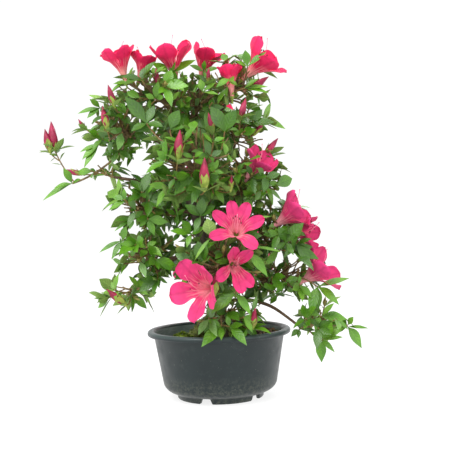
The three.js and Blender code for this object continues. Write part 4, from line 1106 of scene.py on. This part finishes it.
# Adds a limb with its bark's relief: plates that run along it, and the root spurs at the trunk's foot.
def add_limb(builder, limb, rings, sides):
    shares = np.linspace(0, 1, rings)
    places = limb["curve"].at(shares)
    turns = np.arange(sides) * 2 * np.pi / sides
    sizes = np.empty((rings, sides))
    for i, share in enumerate(shares):
        size = float(limb["radius"](share))
        along = share * limb["curve"].length
        spur = 0.0
        if limb["name"] == "trunk":
            spur = max(0.0, 1 - (places[i][2] - TRUNK_LINE[0][2]) / FLARE["height"]) ** 2
        ring = noise.noise(Vector((along * BARK["knots_along"], 5.0, 1.0)))
        for j, turn in enumerate(turns):
            flute = 1 + FLARE["depth"] * spur * (1 + math.cos(FLARE["spurs"] * turn))
            east, north = math.cos(turn) * BARK["round"], math.sin(turn) * BARK["round"]
            point = Vector((east, north, along * BARK["along"]))
            plate = noise.noise(point) + 0.6 * noise.noise(point * 2.6) + 0.35 * noise.noise(point * 6.3)
            sizes[i, j] = size * flute * (1 + BARK["relief"] * plate + BARK["knots"] * ring)
    add_tube(builder, places, sizes, sides)


# The trunk, its root and the boughs.
def add_limbs(barks, root):
    limbs = [lined_limb("trunk", TRUNK_LINE, TRUNK_RADII)]
    for index, bough in enumerate(BOUGHS):
        limbs.append(bough_limb(bough, index, limbs))
    trunk, boughs = Builder(), Builder()
    add_limb(trunk, limbs[0], *LIMB_MESH["trunk"])
    add_limb(trunk, root, *LIMB_MESH["root"])
    for limb in limbs[1:]:
        add_limb(boughs, limb, *LIMB_MESH["bough"])
    trunk.build("trunk_bark", [barks["bark"]], "bark", ["trunk"])
    boughs.build("boughs_bark", [barks["bough_bark"]], "bark", [limb["name"] for limb in limbs[1:]])
    return limbs


# How far a point is from the surface of the nearest limb.
def limb_distance(crown, point):
    return (np.linalg.norm(crown["bead_places"] - point, axis=1) - crown["bead_sizes"]).min()


# The mass whose space a point is in. A named shoot's ball comes before any ellipsoid.
def owner_of(crown, point):
    depths = np.linalg.norm(crown["claim_centres"] - point, axis=1) / crown["claim_radii"]
    first = int(depths.argmin())
    if depths[first] < 1:
        return int(crown["claim_masses"][first])
    depths = np.linalg.norm((crown["centres"] - point) / crown["radii"], axis=1)
    first = int(depths.argmin())
    return first if depths[first] < 1 else None


# Whether a point is in a flower's ball.
def blocked(crown, point):
    return bool((np.linalg.norm(crown["ball_centres"] - point, axis=1) < crown["ball_radii"]).any())


# Whether any of some points is in a gap of the crown, as it is seen from the camera's place.
def in_gap(points):
    eye = vector(*CAMERA["place"])
    nearer = -eye[1] / (points[:, 1] - eye[1])
    seen = eye[[0, 2]] + (points[:, [0, 2]] - eye[[0, 2]]) * nearer[:, None]
    away = np.linalg.norm(seen[:, None, :] - GAP_PLACES[None, :, :], axis=2)
    return bool((away < GAP_RADII).any())


# Where a flower's mouth is, and the ball round it that nothing else enters.
def flower_ball(place, facing, width, opens):
    out = CALYX + width * (COROLLA["tube"] + BALL["out"] * math.cos(math.radians(opens)))
    return place + facing * out, width * (BALL["size"] + BALL["opened"] * math.sin(math.radians(opens)))


# The twigs of a mass hang together at joints. The first joint is a little off the limb that carries it.
def start_tree(mass, limb):
    along = limb["curve"].tangent(1)
    root = limb["curve"].at(1) + along * GAP
    heart = root + (mass["centre"] - root) * STEM["reach"]
    control = root + along * np.linalg.norm(heart - root) * STEM["bend"]
    first = {"place": root, "reach": 0.0, "load": 0, "leaving": 0, "parent": None}
    tree = {"joints": [first], "twigs": []}
    add_twig(tree, bent(root, control, heart), first)
    return tree


# Adds a twig's joints to the tree. A joint's load is the number of shoots beyond it.
def add_twig(tree, curve, origin):
    steps = max(1, round(curve.length / TWIG["step"]))
    twig = {"curve": curve, "joints": []}
    before = {**origin, "place": curve.points[0], "parent": origin, "leaving": 0, "load": 0}
    for i in range(1, steps + 1):
        place = curve.at(i / steps)
        reach = before["reach"] + np.linalg.norm(before["place"] - place)
        joint = {"place": place, "parent": before, "reach": reach, "load": 0, "leaving": 0}
        twig["joints"].append(joint)
        before = joint
    tree["joints"] += twig["joints"]
    tree["twigs"].append(twig)
    return twig


# Adds a twig that ends at a place and points along a heading, from the joint that suits it best.
def grow_twig(tree, end, facing):
    joints = tree["joints"][1:]
    gaps = end - np.array([joint["place"] for joint in joints])
    away = np.linalg.norm(gaps, axis=1)
    turn = gaps @ facing / np.maximum(away, 1e-9)
    reaches = np.array([joint["reach"] for joint in joints])
    cost = away * (1 - JOINING["ahead"] * turn) + JOINING["along"] * reaches
    best = joints[int(np.where(away > JOINING["nearest"], cost, np.inf).argmin())]
    best["leaving"] += 1
    back = (JOINING["apart"] * best["leaving"]) % 1
    start = best["place"] + (best["parent"]["place"] - best["place"]) * back
    run = end - start
    arrival = unit(unit(run) * (1 - JOINING["facing"]) + facing * JOINING["facing"])
    control = end - arrival * JOINING["bend"] * np.linalg.norm(run)
    twig = add_twig(tree, bent(start, control, end), best)
    joint = twig["joints"][-1]
    while joint:
        joint["load"] += 1
        joint = joint["parent"]
    return twig


# The whorls that the rule adds to a mass, near its surface and apart from each other.
def added_shoots(crown, index, random):
    mass = crown["masses"][index]
    near = [shoot["place"] for shoot in mass["shoots"]]
    found = []
    for _ in range(TRIES):
        turn = random(0, 2 * math.pi)
        height = random(-1, 1)
        reach = ADDED["out"] + ADDED["farther"] * math.sqrt(random())
        length = random(*ADDED["lengths"])
        flat = math.sqrt(1 - height * height)
        away = vector(flat * math.cos(turn), flat * math.sin(turn), height)
        place = away * mass["radii"] * reach + mass["centre"]
        if owner_of(crown, place) != index or blocked(crown, place) or in_gap(place[None]):
            continue
        if near and np.linalg.norm(np.array(near) - place, axis=1).min() < SPACING["shoots"]:
            continue
        if limb_distance(crown, place) < SPACING["shoot_to_limb"]:
            continue
        near.append(place)
        facing = unit(away + UP * ADDED["rising"])
        found.append({"place": place, "facing": facing, "leaf": LEAF["length"] * length})
    # Bare twigs in the shade of the mass.
    for _ in range(round(BARE["most"] * min(1, np.prod(mass["radii"]) / BARE["full"]))):
        away = heading(random(0, 360), random(-60, 80))
        place = away * mass["radii"] * random(0.2, BARE["reach"]) + mass["centre"]
        if owner_of(crown, place) == index and not blocked(crown, place):
            found.append({"place": place, "facing": unit(away + UP * random(-0.3, 0.7)), "leaf": 0})
    return [{**shoot, "bears": None, "named": False} for shoot in found]


# A heading that is turned round an axis and opened away from it, and its upper face. Angles are in radians.
def opened_from(axis, angle, opened):
    side, other = across(axis)
    out = side * math.cos(angle) + other * math.sin(angle)
    along = axis * math.cos(opened) + out * math.sin(opened)
    face = axis * math.sin(opened) - out * math.cos(opened)
    return out, along, face


# The leaves that a shoot has room for: a whorl at its end and a few down its stem.
def shoot_leaves(shoot, random):
    facing, curve = shoot["facing"], shoot["twig"]["curve"]
    if not shoot["leaf"]:
        return []
    spread = WHORL["spread"]
    if isinstance(shoot["bears"], tuple):
        spread = WHORL["under_flower"]
    elif shoot["named"] and shoot["bears"] is None:
        spread = WHORL["at_edge"]
    leaves = []
    turn = random(0, 2 * math.pi)

    def leaf(axis, depth, angle, opens, length):
        _, along, face = opened_from(axis, angle, math.radians(opens))
        place = curve.at(max(0.1, 1 - depth / curve.length))
        leaves.append({"root": place, "along": along, "face": face, "length": length})

    outer = WHORL["outer"]
    for i in range(outer + WHORL["inner"]):
        inner = i >= outer
        angle = turn + 4 * math.pi * i / outer + (INNER["turn"] if inner else 0) + random(-0.3, 0.3)
        opens = spread * (INNER["spread"] if inner else 1) + random(-14, 14)
        length = shoot["leaf"] * random(*LEAF_RANGES["length"]) * (INNER["length"] if inner else 1)
        leaf(facing, WHORL["apart"] * i + 0.4, angle, opens, length)
    for i in range(STEM_LEAVES["count"]):
        depth = STEM_LEAVES["first"] + STEM_LEAVES["step"] * i
        if depth > curve.length * 0.85:
            break
        axis = curve.tangent(1 - depth / curve.length)
        angle = turn + 2.4 * i + random(-0.4, 0.4)
        opens = STEM_LEAVES["spread"] + random(-16, 16)
        leaf(axis, depth, angle, opens, shoot["leaf"] * STEM_LEAVES["length"] * random(0.7, 1.1))
    return leaves


# The leaves of a spray, each from the whorl to its own tip.
def spray_leaves(shoot):
    leaves = []
    for look, x, y, z, wide in shoot["bears"]:
        reach = vector(x, y, z)
        length = np.linalg.norm(reach)
        droop = SPRAY_LEAF["droop"] + SPRAY_LEAF["hanging"] * max(0.0, -z / length)
        straight = reach + UP * droop * length
        along = unit(straight)
        face = vector(*SPRAY_LEAF["face"])
        face = unit(face - along * np.dot(face, along))
        leaf = {"root": shoot["place"], "along": along, "face": face, "length": np.linalg.norm(straight)}
        leaves.append({**leaf, "droop": droop, "fold": SPRAY_LEAF["fold"], "wide": wide, "tint": look})
    return leaves


# Three places along a leaf, which stand for it where room is looked for.
def leaf_points(leaf, droop):
    shares = np.array([0.4, 0.7, 1.0])[:, None]
    return leaf["root"] + leaf["along"] * shares * leaf["length"] - UP * droop * leaf["length"] * shares**2


def leaf_fits(crown, index, points, taken):
    owner = owner_of(crown, points[1])
    if owner is not None and owner != index:
        return False
    for point in points:
        if blocked(crown, point) or limb_distance(crown, point) < SPACING["leaf_to_limb"]:
            return False
    if in_gap(points):
        return False
    if taken:
        others = np.concatenate(taken)
        gaps = np.linalg.norm(points[:, None, :] - others[None, :, :], axis=2)
        return gaps.min() > LEAF["clear"]
    return True


def grow_mass(crown, index):
    mass = crown["masses"][index]
    random = seeded(index)
    limb = next(each for each in crown["limbs"] if each["name"] == mass["on"])
    tree = start_tree(mass, limb)
    root = tree["joints"][0]["place"]
    shoots = mass["shoots"] + added_shoots(crown, index, random)
    shoots.sort(key=lambda shoot: np.linalg.norm(shoot["place"] - root))
    for shoot in shoots:
        shoot["twig"] = grow_twig(tree, shoot["place"], shoot["facing"])
    leaves = [leaf for shoot in shoots if isinstance(shoot["bears"], list) for leaf in spray_leaves(shoot)]
    placed = [leaf_points(leaf, leaf["droop"]) for leaf in leaves]
    taken = []
    for shoot in shoots:
        if isinstance(shoot["bears"], list):
            continue
        tint = tint_of(shoot, random)
        for leaf in shoot_leaves(shoot, random):
            leaf["droop"] = random(*LEAF_RANGES["droop"])
            leaf["fold"] = random(*LEAF_RANGES["fold"])
            leaf["wide"] = LEAF["width"] * random(*LEAF_RANGES["width"])
            leaf["tint"] = tint
            points = leaf_points(leaf, leaf["droop"])
            if leaf_fits(crown, index, points, placed + taken[-LEAF["compared"] :]):
                taken.append(points)
                leaves.append(leaf)
    return {"twigs": tree["twigs"], "shoots": shoots, "leaves": leaves}


# Many leaves at once: each a blade with a folded midrib, a pointed tip and a paler underside.
def add_leaves(builder, leaves, under_look):
    def column(key):
        return np.array([leaf[key] for leaf in leaves])

    count, stations = len(leaves), LEAF["stations"]
    shares = np.linspace(0, 1, stations)
    half = 0.5 * np.sin(np.pi * np.clip((shares - 0.05) / 0.95, 0, 1) ** 0.94) ** 1.06
    half = np.maximum(half, 0.02)
    half[-1] = 0.004
    root, along, face = column("root"), column("along"), column("face")
    length, wide, droop, fold = column("length"), column("wide"), column("droop"), column("fold")
    side = np.cross(face, along)
    side /= np.linalg.norm(side, axis=1)[:, None]
    spine = root[:, None] + along[:, None] * (shares[None, :] * length[:, None])[..., None]
    spine = spine - UP * (droop[:, None] * length[:, None] * shares[None, :] ** 2)[..., None]
    reach = (length * wide)[:, None] * half[None, :]
    rise = (reach * fold[:, None])[..., None] * face[:, None]
    left = spine - side[:, None] * reach[..., None] + rise
    right = spine + side[:, None] * reach[..., None] + rise
    depth = LEAF["thick"] * np.sin(np.pi * np.clip(shares, 0.02, 0.98))
    lower = spine - face[:, None] * depth[None, :, None]
    top = np.stack([left, spine, right], axis=2)
    under = np.stack([left, lower, right], axis=2)
    marks = np.stack(np.broadcast_arrays(np.array([0, 0.5, 1])[None, :], shares[:, None]), axis=-1)
    faces = grid_faces(stations, 3)
    offsets = (np.arange(count) * stations * 3)[:, None, None]
    under_looks = np.full(count, under_look)
    for sheet, look, block in ((top, column("tint"), faces), (under, under_looks, faces[:, ::-1])):
        every = (block[None] + offsets).reshape(-1, 4)
        looks = np.repeat(look, len(faces))
        builder.add(sheet.reshape(-1, 3), every, looks, np.tile(marks.reshape(-1, 2), (count, 1)))


# How a flower's lobes run outwards. At each station this gives the lean, the distance from the flower's axis,
# the height, the half width and how far the lobe is free of its neighbours.
def lobe_run(width, opens, form, number):
    tube, petal = width * COROLLA["tube"], width * COROLLA["petal"]
    shares = np.linspace(0, 1, COROLLA["along"])
    throat = tube / (tube + petal)
    leans = opens * np.array(form["lean"])
    leans[2] = min(leans[2], COROLLA["throat_lean"])
    lean = np.radians(np.interp(shares, [0, throat * 0.5, throat, throat + 0.16, 0.85, 1], leans))
    step = (tube + petal) / (COROLLA["along"] - 1)
    radius = COROLLA["neck"] + np.concatenate([[0], np.cumsum(np.sin(lean[:-1]) * step)])
    height = np.concatenate([[0], np.cumsum(np.cos(lean[:-1]) * step)])
    joined = form["joined"]
    fused = radius * math.sin(math.pi / number)
    free = np.clip((shares - joined) / (1 - joined), 0, 1)
    narrow = fused[shares <= joined][-1]
    widening = narrow + (width * form["wide"] - narrow) * smooth(free / 0.5)
    rounding = np.sqrt(np.clip(1 - (np.clip(free - 0.4, 0, 1) / 0.6) ** PETAL["round"], 0, 1))
    half = np.where(shares <= joined, fused, widening * np.maximum(rounding, 0.02))
    return throat, lean, radius[:, None], height[:, None], half[:, None], free[:, None]


# One flower: lobes joined into a tube below and spread into petals above.
def add_flower(builder, place, facing, random, width, opens, lobes):
    start = place + facing * CALYX
    side, other = across(facing)
    regular = isinstance(lobes, int)
    form = BROAD if regular else STARRY
    number = lobes if regular else len(lobes)
    turn = random(0, 2 * math.pi)
    pitch = 2 * math.pi * np.arange(number) / number
    even = turn + pitch
    if regular:
        turns = even + np.array([random(*LOBE_RANGES["turn"]) for _ in even])
    else:
        turns = np.radians(lobes)
        even = np.mean(turns - pitch) + even - turn
    throat, lean, radius, height, half, free = lobe_run(width, opens, form, number)
    along_count, across_count = COROLLA["along"], COROLLA["across"]
    shares = np.linspace(0, 1, along_count)
    spread = np.linspace(-1, 1, across_count)[None, :]
    flat = smooth(free * 1.6)
    wide = half * spread
    angle = wide / np.maximum(radius, 1) * (math.pi / number / math.sin(math.pi / number))
    bowed = radius * np.cos(angle) * (1 - flat) + radius * flat
    beside = radius * np.sin(angle) * (1 - flat) + wide * flat
    groove = np.exp(-((spread / PETAL["groove_width"]) ** 2)) * width * PETAL["groove"]
    cup = np.abs(spread) ** 2 * width * PETAL["cup"]
    marks = np.stack(np.broadcast_arrays(0.5 + 0.5 * spread, shares[:, None]), axis=-1)
    faces = grid_faces(along_count, across_count)
    pink = COOL if place[2] < COOL_BELOW else WARM
    # The tube's faces take the paler throat look: partly the throat's own colour, partly painted light
    # against the shade inside the tube.
    looks = np.where(faces[:, 0] // across_count < throat * (along_count - 1) - 1, pink + 1, pink)
    for lobe in range(number):
        at = even[lobe] + (turns[lobe] - even[lobe]) * smooth((shares - form["joined"] * 0.4) / 0.4)
        tilt = random(*LOBE_RANGES["tilt"])
        curl = random(*LOBE_RANGES["curl"])
        shift = random(*LOBE_RANGES["waves_from"])
        wave = np.sin(shares[:, None] * PETAL["waves"] + shift + spread * 2.0) * np.abs(spread) ** 2
        lift = free * (tilt * wide + wave * width * PETAL["wave"] + cup)
        lift = lift - groove * smooth(shares * 3)[:, None] - width * curl * free**2
        out = bowed - np.cos(lean)[:, None] * lift
        up = height + np.sin(lean)[:, None] * lift
        radial = side * np.cos(at)[:, None] + other * np.sin(at)[:, None]
        tangential = other * np.cos(at)[:, None] - side * np.sin(at)[:, None]
        points = start + radial[:, None] * out[..., None] + tangential[:, None] * beside[..., None]
        builder.add(points + facing * up[..., None], faces, looks, marks)
    return start


# The stamens and then the longer style, which curve upwards out of the throat.
def add_stamens(parts, flower, start, facing, random):
    width, opens = flower[:2]
    tube, petal = width * COROLLA["tube"], width * COROLLA["petal"]
    side, other = across(facing)
    rise = UP - facing * np.dot(UP, facing)
    rise = unit(rise) if np.linalg.norm(rise) > 0.2 else side
    full = tube + petal * math.cos(math.radians(opens) * 0.8)
    base = start + facing * tube * 0.3
    for i in range(STAMENS + 1):
        style = i == STAMENS
        form = STYLE if style else STAMEN
        length = full * random(*form["lengths"])
        turn = random(0, 2 * math.pi)
        spread = side * math.cos(turn) + other * math.sin(turn)
        bend = width * (STYLE["bend"] if style else random(*STAMEN["bends"]))
        middle = base + facing * length * 0.55 + spread * width * 0.035 - rise * bend * 0.6
        end = base + facing * length * 0.97 + spread * width * form["spread"] + rise * bend * 1.5
        count = FILAMENT["points"]
        places = bent(base, middle, end).at(np.linspace(0, 1, count))
        radii = np.linspace(FILAMENT["foot"], FILAMENT["end"], count)
        add_tube(parts["stamens"], places, radii, FILAMENT["sides"])
        tip = unit(places[-1] - places[-2])
        cap = [end - tip * 0.2, end + tip * 0.5, end + tip * 1.2, end + tip * 1.7]
        add_tube(parts["anthers"], cap, form["tip"], 6, 1 if style else 0)


# A bud of furled petals, pointed and a little twisted.
def add_bud(builder, start, facing, length, look=0):
    sides = BUD["sides"]
    shares = np.linspace(0, 1, BUD["rings"])
    radius = length * BUD["thick"] * np.sin(np.pi * np.clip(shares, 0.03, 0.985) ** 0.78) ** 0.9
    turns = np.arange(sides) * 2 * np.pi / sides
    furl = 1 + BUD["furl"] * np.cos(3 * (turns[None, :] + shares[:, None] * BUD["twist"]))
    add_tube(builder, start + facing * shares[:, None] * length, radius[:, None] * furl, sides, look)


# The scales of a calyx, or of a leaf bud, as short pointed blades round an axis.
def add_scales(builder, start, facing, kind, length, random, look=0, ring=0.5):
    form = SCALES[kind]
    leaves = []
    turn = random(0, 2 * math.pi)
    for i in range(form["count"]):
        angle = turn + 2 * math.pi * i / form["count"] + random(-0.2, 0.2)
        out, along, face = opened_from(facing, angle, math.radians(form["opens"] + random(-8, 8)))
        size = length * random(0.8, 1.15)
        leaf = {"root": start + out * ring, "along": along, "face": face, "length": size, "tint": look}
        leaves.append({**leaf, "droop": 0.0, "fold": 0.3, "wide": form["wide"]})
    add_leaves(builder, leaves, look)


# A shoot's tint, dealt at random, with the lighter tints more often high up as painted light on the crown's
# top.
def tint_of(shoot, random):
    value = random() + (LIT_TOP["lighter"] if shoot["place"][2] > LIT_TOP["above"] else 0)
    for look, share in enumerate(TINTS):
        value -= share
        if value < 0:
            return look
    return len(TINTS) - 1


# A spray as a shoot: its heading is the middle of its leaves, and its leaf length is the longest of them.
def spray_shoot(at, look, leaves):
    reaches = [vector(*leaf[:3]) for leaf in leaves]
    longest = max(np.linalg.norm(reach) for reach in reaches)
    middle = sum(reaches) + vector(0, -0.2, 0.2) * longest
    turn = math.degrees(math.atan2(middle[1], middle[0]))
    rise = math.degrees(math.asin(middle[2] / np.linalg.norm(middle)))
    return at, (turn, rise), longest, [(look, *leaf) for leaf in leaves]


# The masses with the shoots that are placed one by one, and the space that is claimed or kept clear.
def plan_crown(limbs):
    masses = []
    for name, carrier, centre, radii in MASSES:
        mass = {"name": name, "on": carrier, "centre": vector(*centre), "radii": vector(*radii)}
        masses.append({**mass, "shoots": []})
    centres = np.array([mass["centre"] for mass in masses])
    all_radii = np.array([mass["radii"] for mass in masses])
    claims, balls = [], []
    for at, facing, leaf, bears in SHOOTS + [spray_shoot(*spray) for spray in SPRAYS]:
        place = vector(*at)
        index = int(np.linalg.norm((centres - place) / all_radii, axis=1).argmin())
        shoot = {"place": place, "facing": heading(*facing), "leaf": leaf, "bears": bears, "named": True}
        masses[index]["shoots"].append(shoot)
        claims.append((place, CLAIM * leaf, index))
        if isinstance(bears, tuple):
            centre, radius = flower_ball(place, shoot["facing"], bears[0], bears[1])
            balls.append((centre, radius))
            claims.append((centre, radius + BALL["claimed"], index))
    beads = np.linspace(0, 1, BEADS + 1)
    return {
        "limbs": limbs,
        "masses": masses,
        "centres": centres,
        "radii": all_radii,
        "claim_centres": np.array([claim[0] for claim in claims]),
        "claim_radii": np.array([claim[1] for claim in claims]),
        "claim_masses": np.array([claim[2] for claim in claims]),
        "ball_centres": np.array([ball[0] for ball in balls]),
        "ball_radii": np.array([ball[1] for ball in balls]),
        "bead_places": np.concatenate([limb["curve"].at(beads) for limb in limbs]),
        "bead_sizes": np.concatenate([[float(limb["radius"](share)) for share in beads] for limb in limbs]),
    }


# A twig thins from its first joint to its last, by the shoots that it carries there.
def add_twig_tube(twigs, twig):
    loads = [max(1, joint["load"]) for joint in (twig["joints"][0], twig["joints"][-1])]
    sizes = [TWIG["tip"] * load ** TWIG["growth"] for load in loads]
    count = max(5, round(twig["curve"].length / TWIG["station"]))
    places = twig["curve"].at(np.linspace(0, 1, count))
    add_tube(twigs, places, np.linspace(sizes[0], sizes[1], count), TWIG["sides"], 0 if loads[0] > 1 else 1)


def add_stalk(builder, foot, run, radii):
    places = np.linspace(0, 1, len(radii))[:, None] * run + foot
    add_tube(builder, places, radii, 9)


# What a shoot bears: a flower, a bud in its green sheath, or now and then a leaf bud.
def add_bearing(parts, shoot, random):
    place, facing, bears = shoot["place"], shoot["facing"], shoot["bears"]
    greens = parts["calyces"]
    if isinstance(bears, tuple):
        start = add_flower(parts["flowers"], place, facing, random, *bears)
        add_stamens(parts, bears, start, facing, random)
        add_stalk(greens, place - facing * 1.5, facing * (CALYX + 1.5), FLOWER_STALK)
        add_scales(greens, start - facing * 1.5, facing, "calyx", CALYX, random)
    elif isinstance(bears, int):
        add_stalk(greens, place - facing * 1.2, facing * 3, BUD_STALK)
        add_bud(parts["buds"], place + facing * 0.8, facing, bears - 0.8)
        add_scales(greens, place, facing, "sheath", 3 + bears * 0.46, random, 0, bears * 0.07)
        add_scales(greens, place, facing, "outer_sheath", 3 + bears * 0.3, random, 1)
    elif not shoot["named"] and shoot["leaf"] and random() < LEAF_BUD["share"]:
        length = random(LEAF_BUD["least"], LEAF_BUD["most"])
        add_bud(greens, place, facing, length, 1)
        add_scales(greens, place, facing, "leaf_bud", length * 0.7, random, 1)


# Grows every mass. Its leaves are one piece, and what the masses bear is one piece of each kind.
def add_crown(limbs, leaf_materials, petal_materials, plain):
    kinds = {
        "twigs": ("bark", [plain["twig_woody"], plain["twig_young"]]),
        "flowers": ("foliage", petal_materials),
        "stamens": ("foliage", [plain["stamen"]]),
        "anthers": ("foliage", [plain["anther"], plain["stamen"]]),
        "buds": ("foliage", [plain["bud_petal"]]),
        "calyces": ("foliage", [plain["calyx"], plain["bud_scale"]]),
    }
    parts = {kind: Builder() for kind in kinds}
    crown = plan_crown(limbs)
    for index, mass in enumerate(crown["masses"]):
        grown = grow_mass(crown, index)
        random = seeded(500 + index)
        leaves = Builder()
        add_leaves(leaves, grown["leaves"], UNDER)
        leaves.build(mass["name"].replace("foliage", "leaves"), leaf_materials, "foliage", [mass["name"]])
        for twig in grown["twigs"]:
            add_twig_tube(parts["twigs"], twig)
        for shoot in grown["shoots"]:
            add_bearing(parts, shoot, random)
    for kind, (slot, kind_materials) in kinds.items():
        parts[kind].build(kind, kind_materials, slot)


def main():
    add_stage()
    plain = each_look(plain_material, PLAIN_LOOKS)
    add_pot(pot_material(), pot_inside_material())
    add_soil(soil_material())
    add_grains([plain["grain_dark"], plain["grain_brown"], plain["grain_tan"]])
    root = lined_limb("root", ROOT_LINE, ROOT_RADII)
    add_moss(plain["moss"], root)
    limbs = add_limbs(each_look(bark_material, BARK_LOOKS), root)
    leaf_materials = list(each_look(leaf_material, LEAF_LOOKS).values())
    petal_materials = list(each_look(petal_material, PETAL_LOOKS).values())
    add_crown(limbs, leaf_materials, petal_materials, plain)


main()
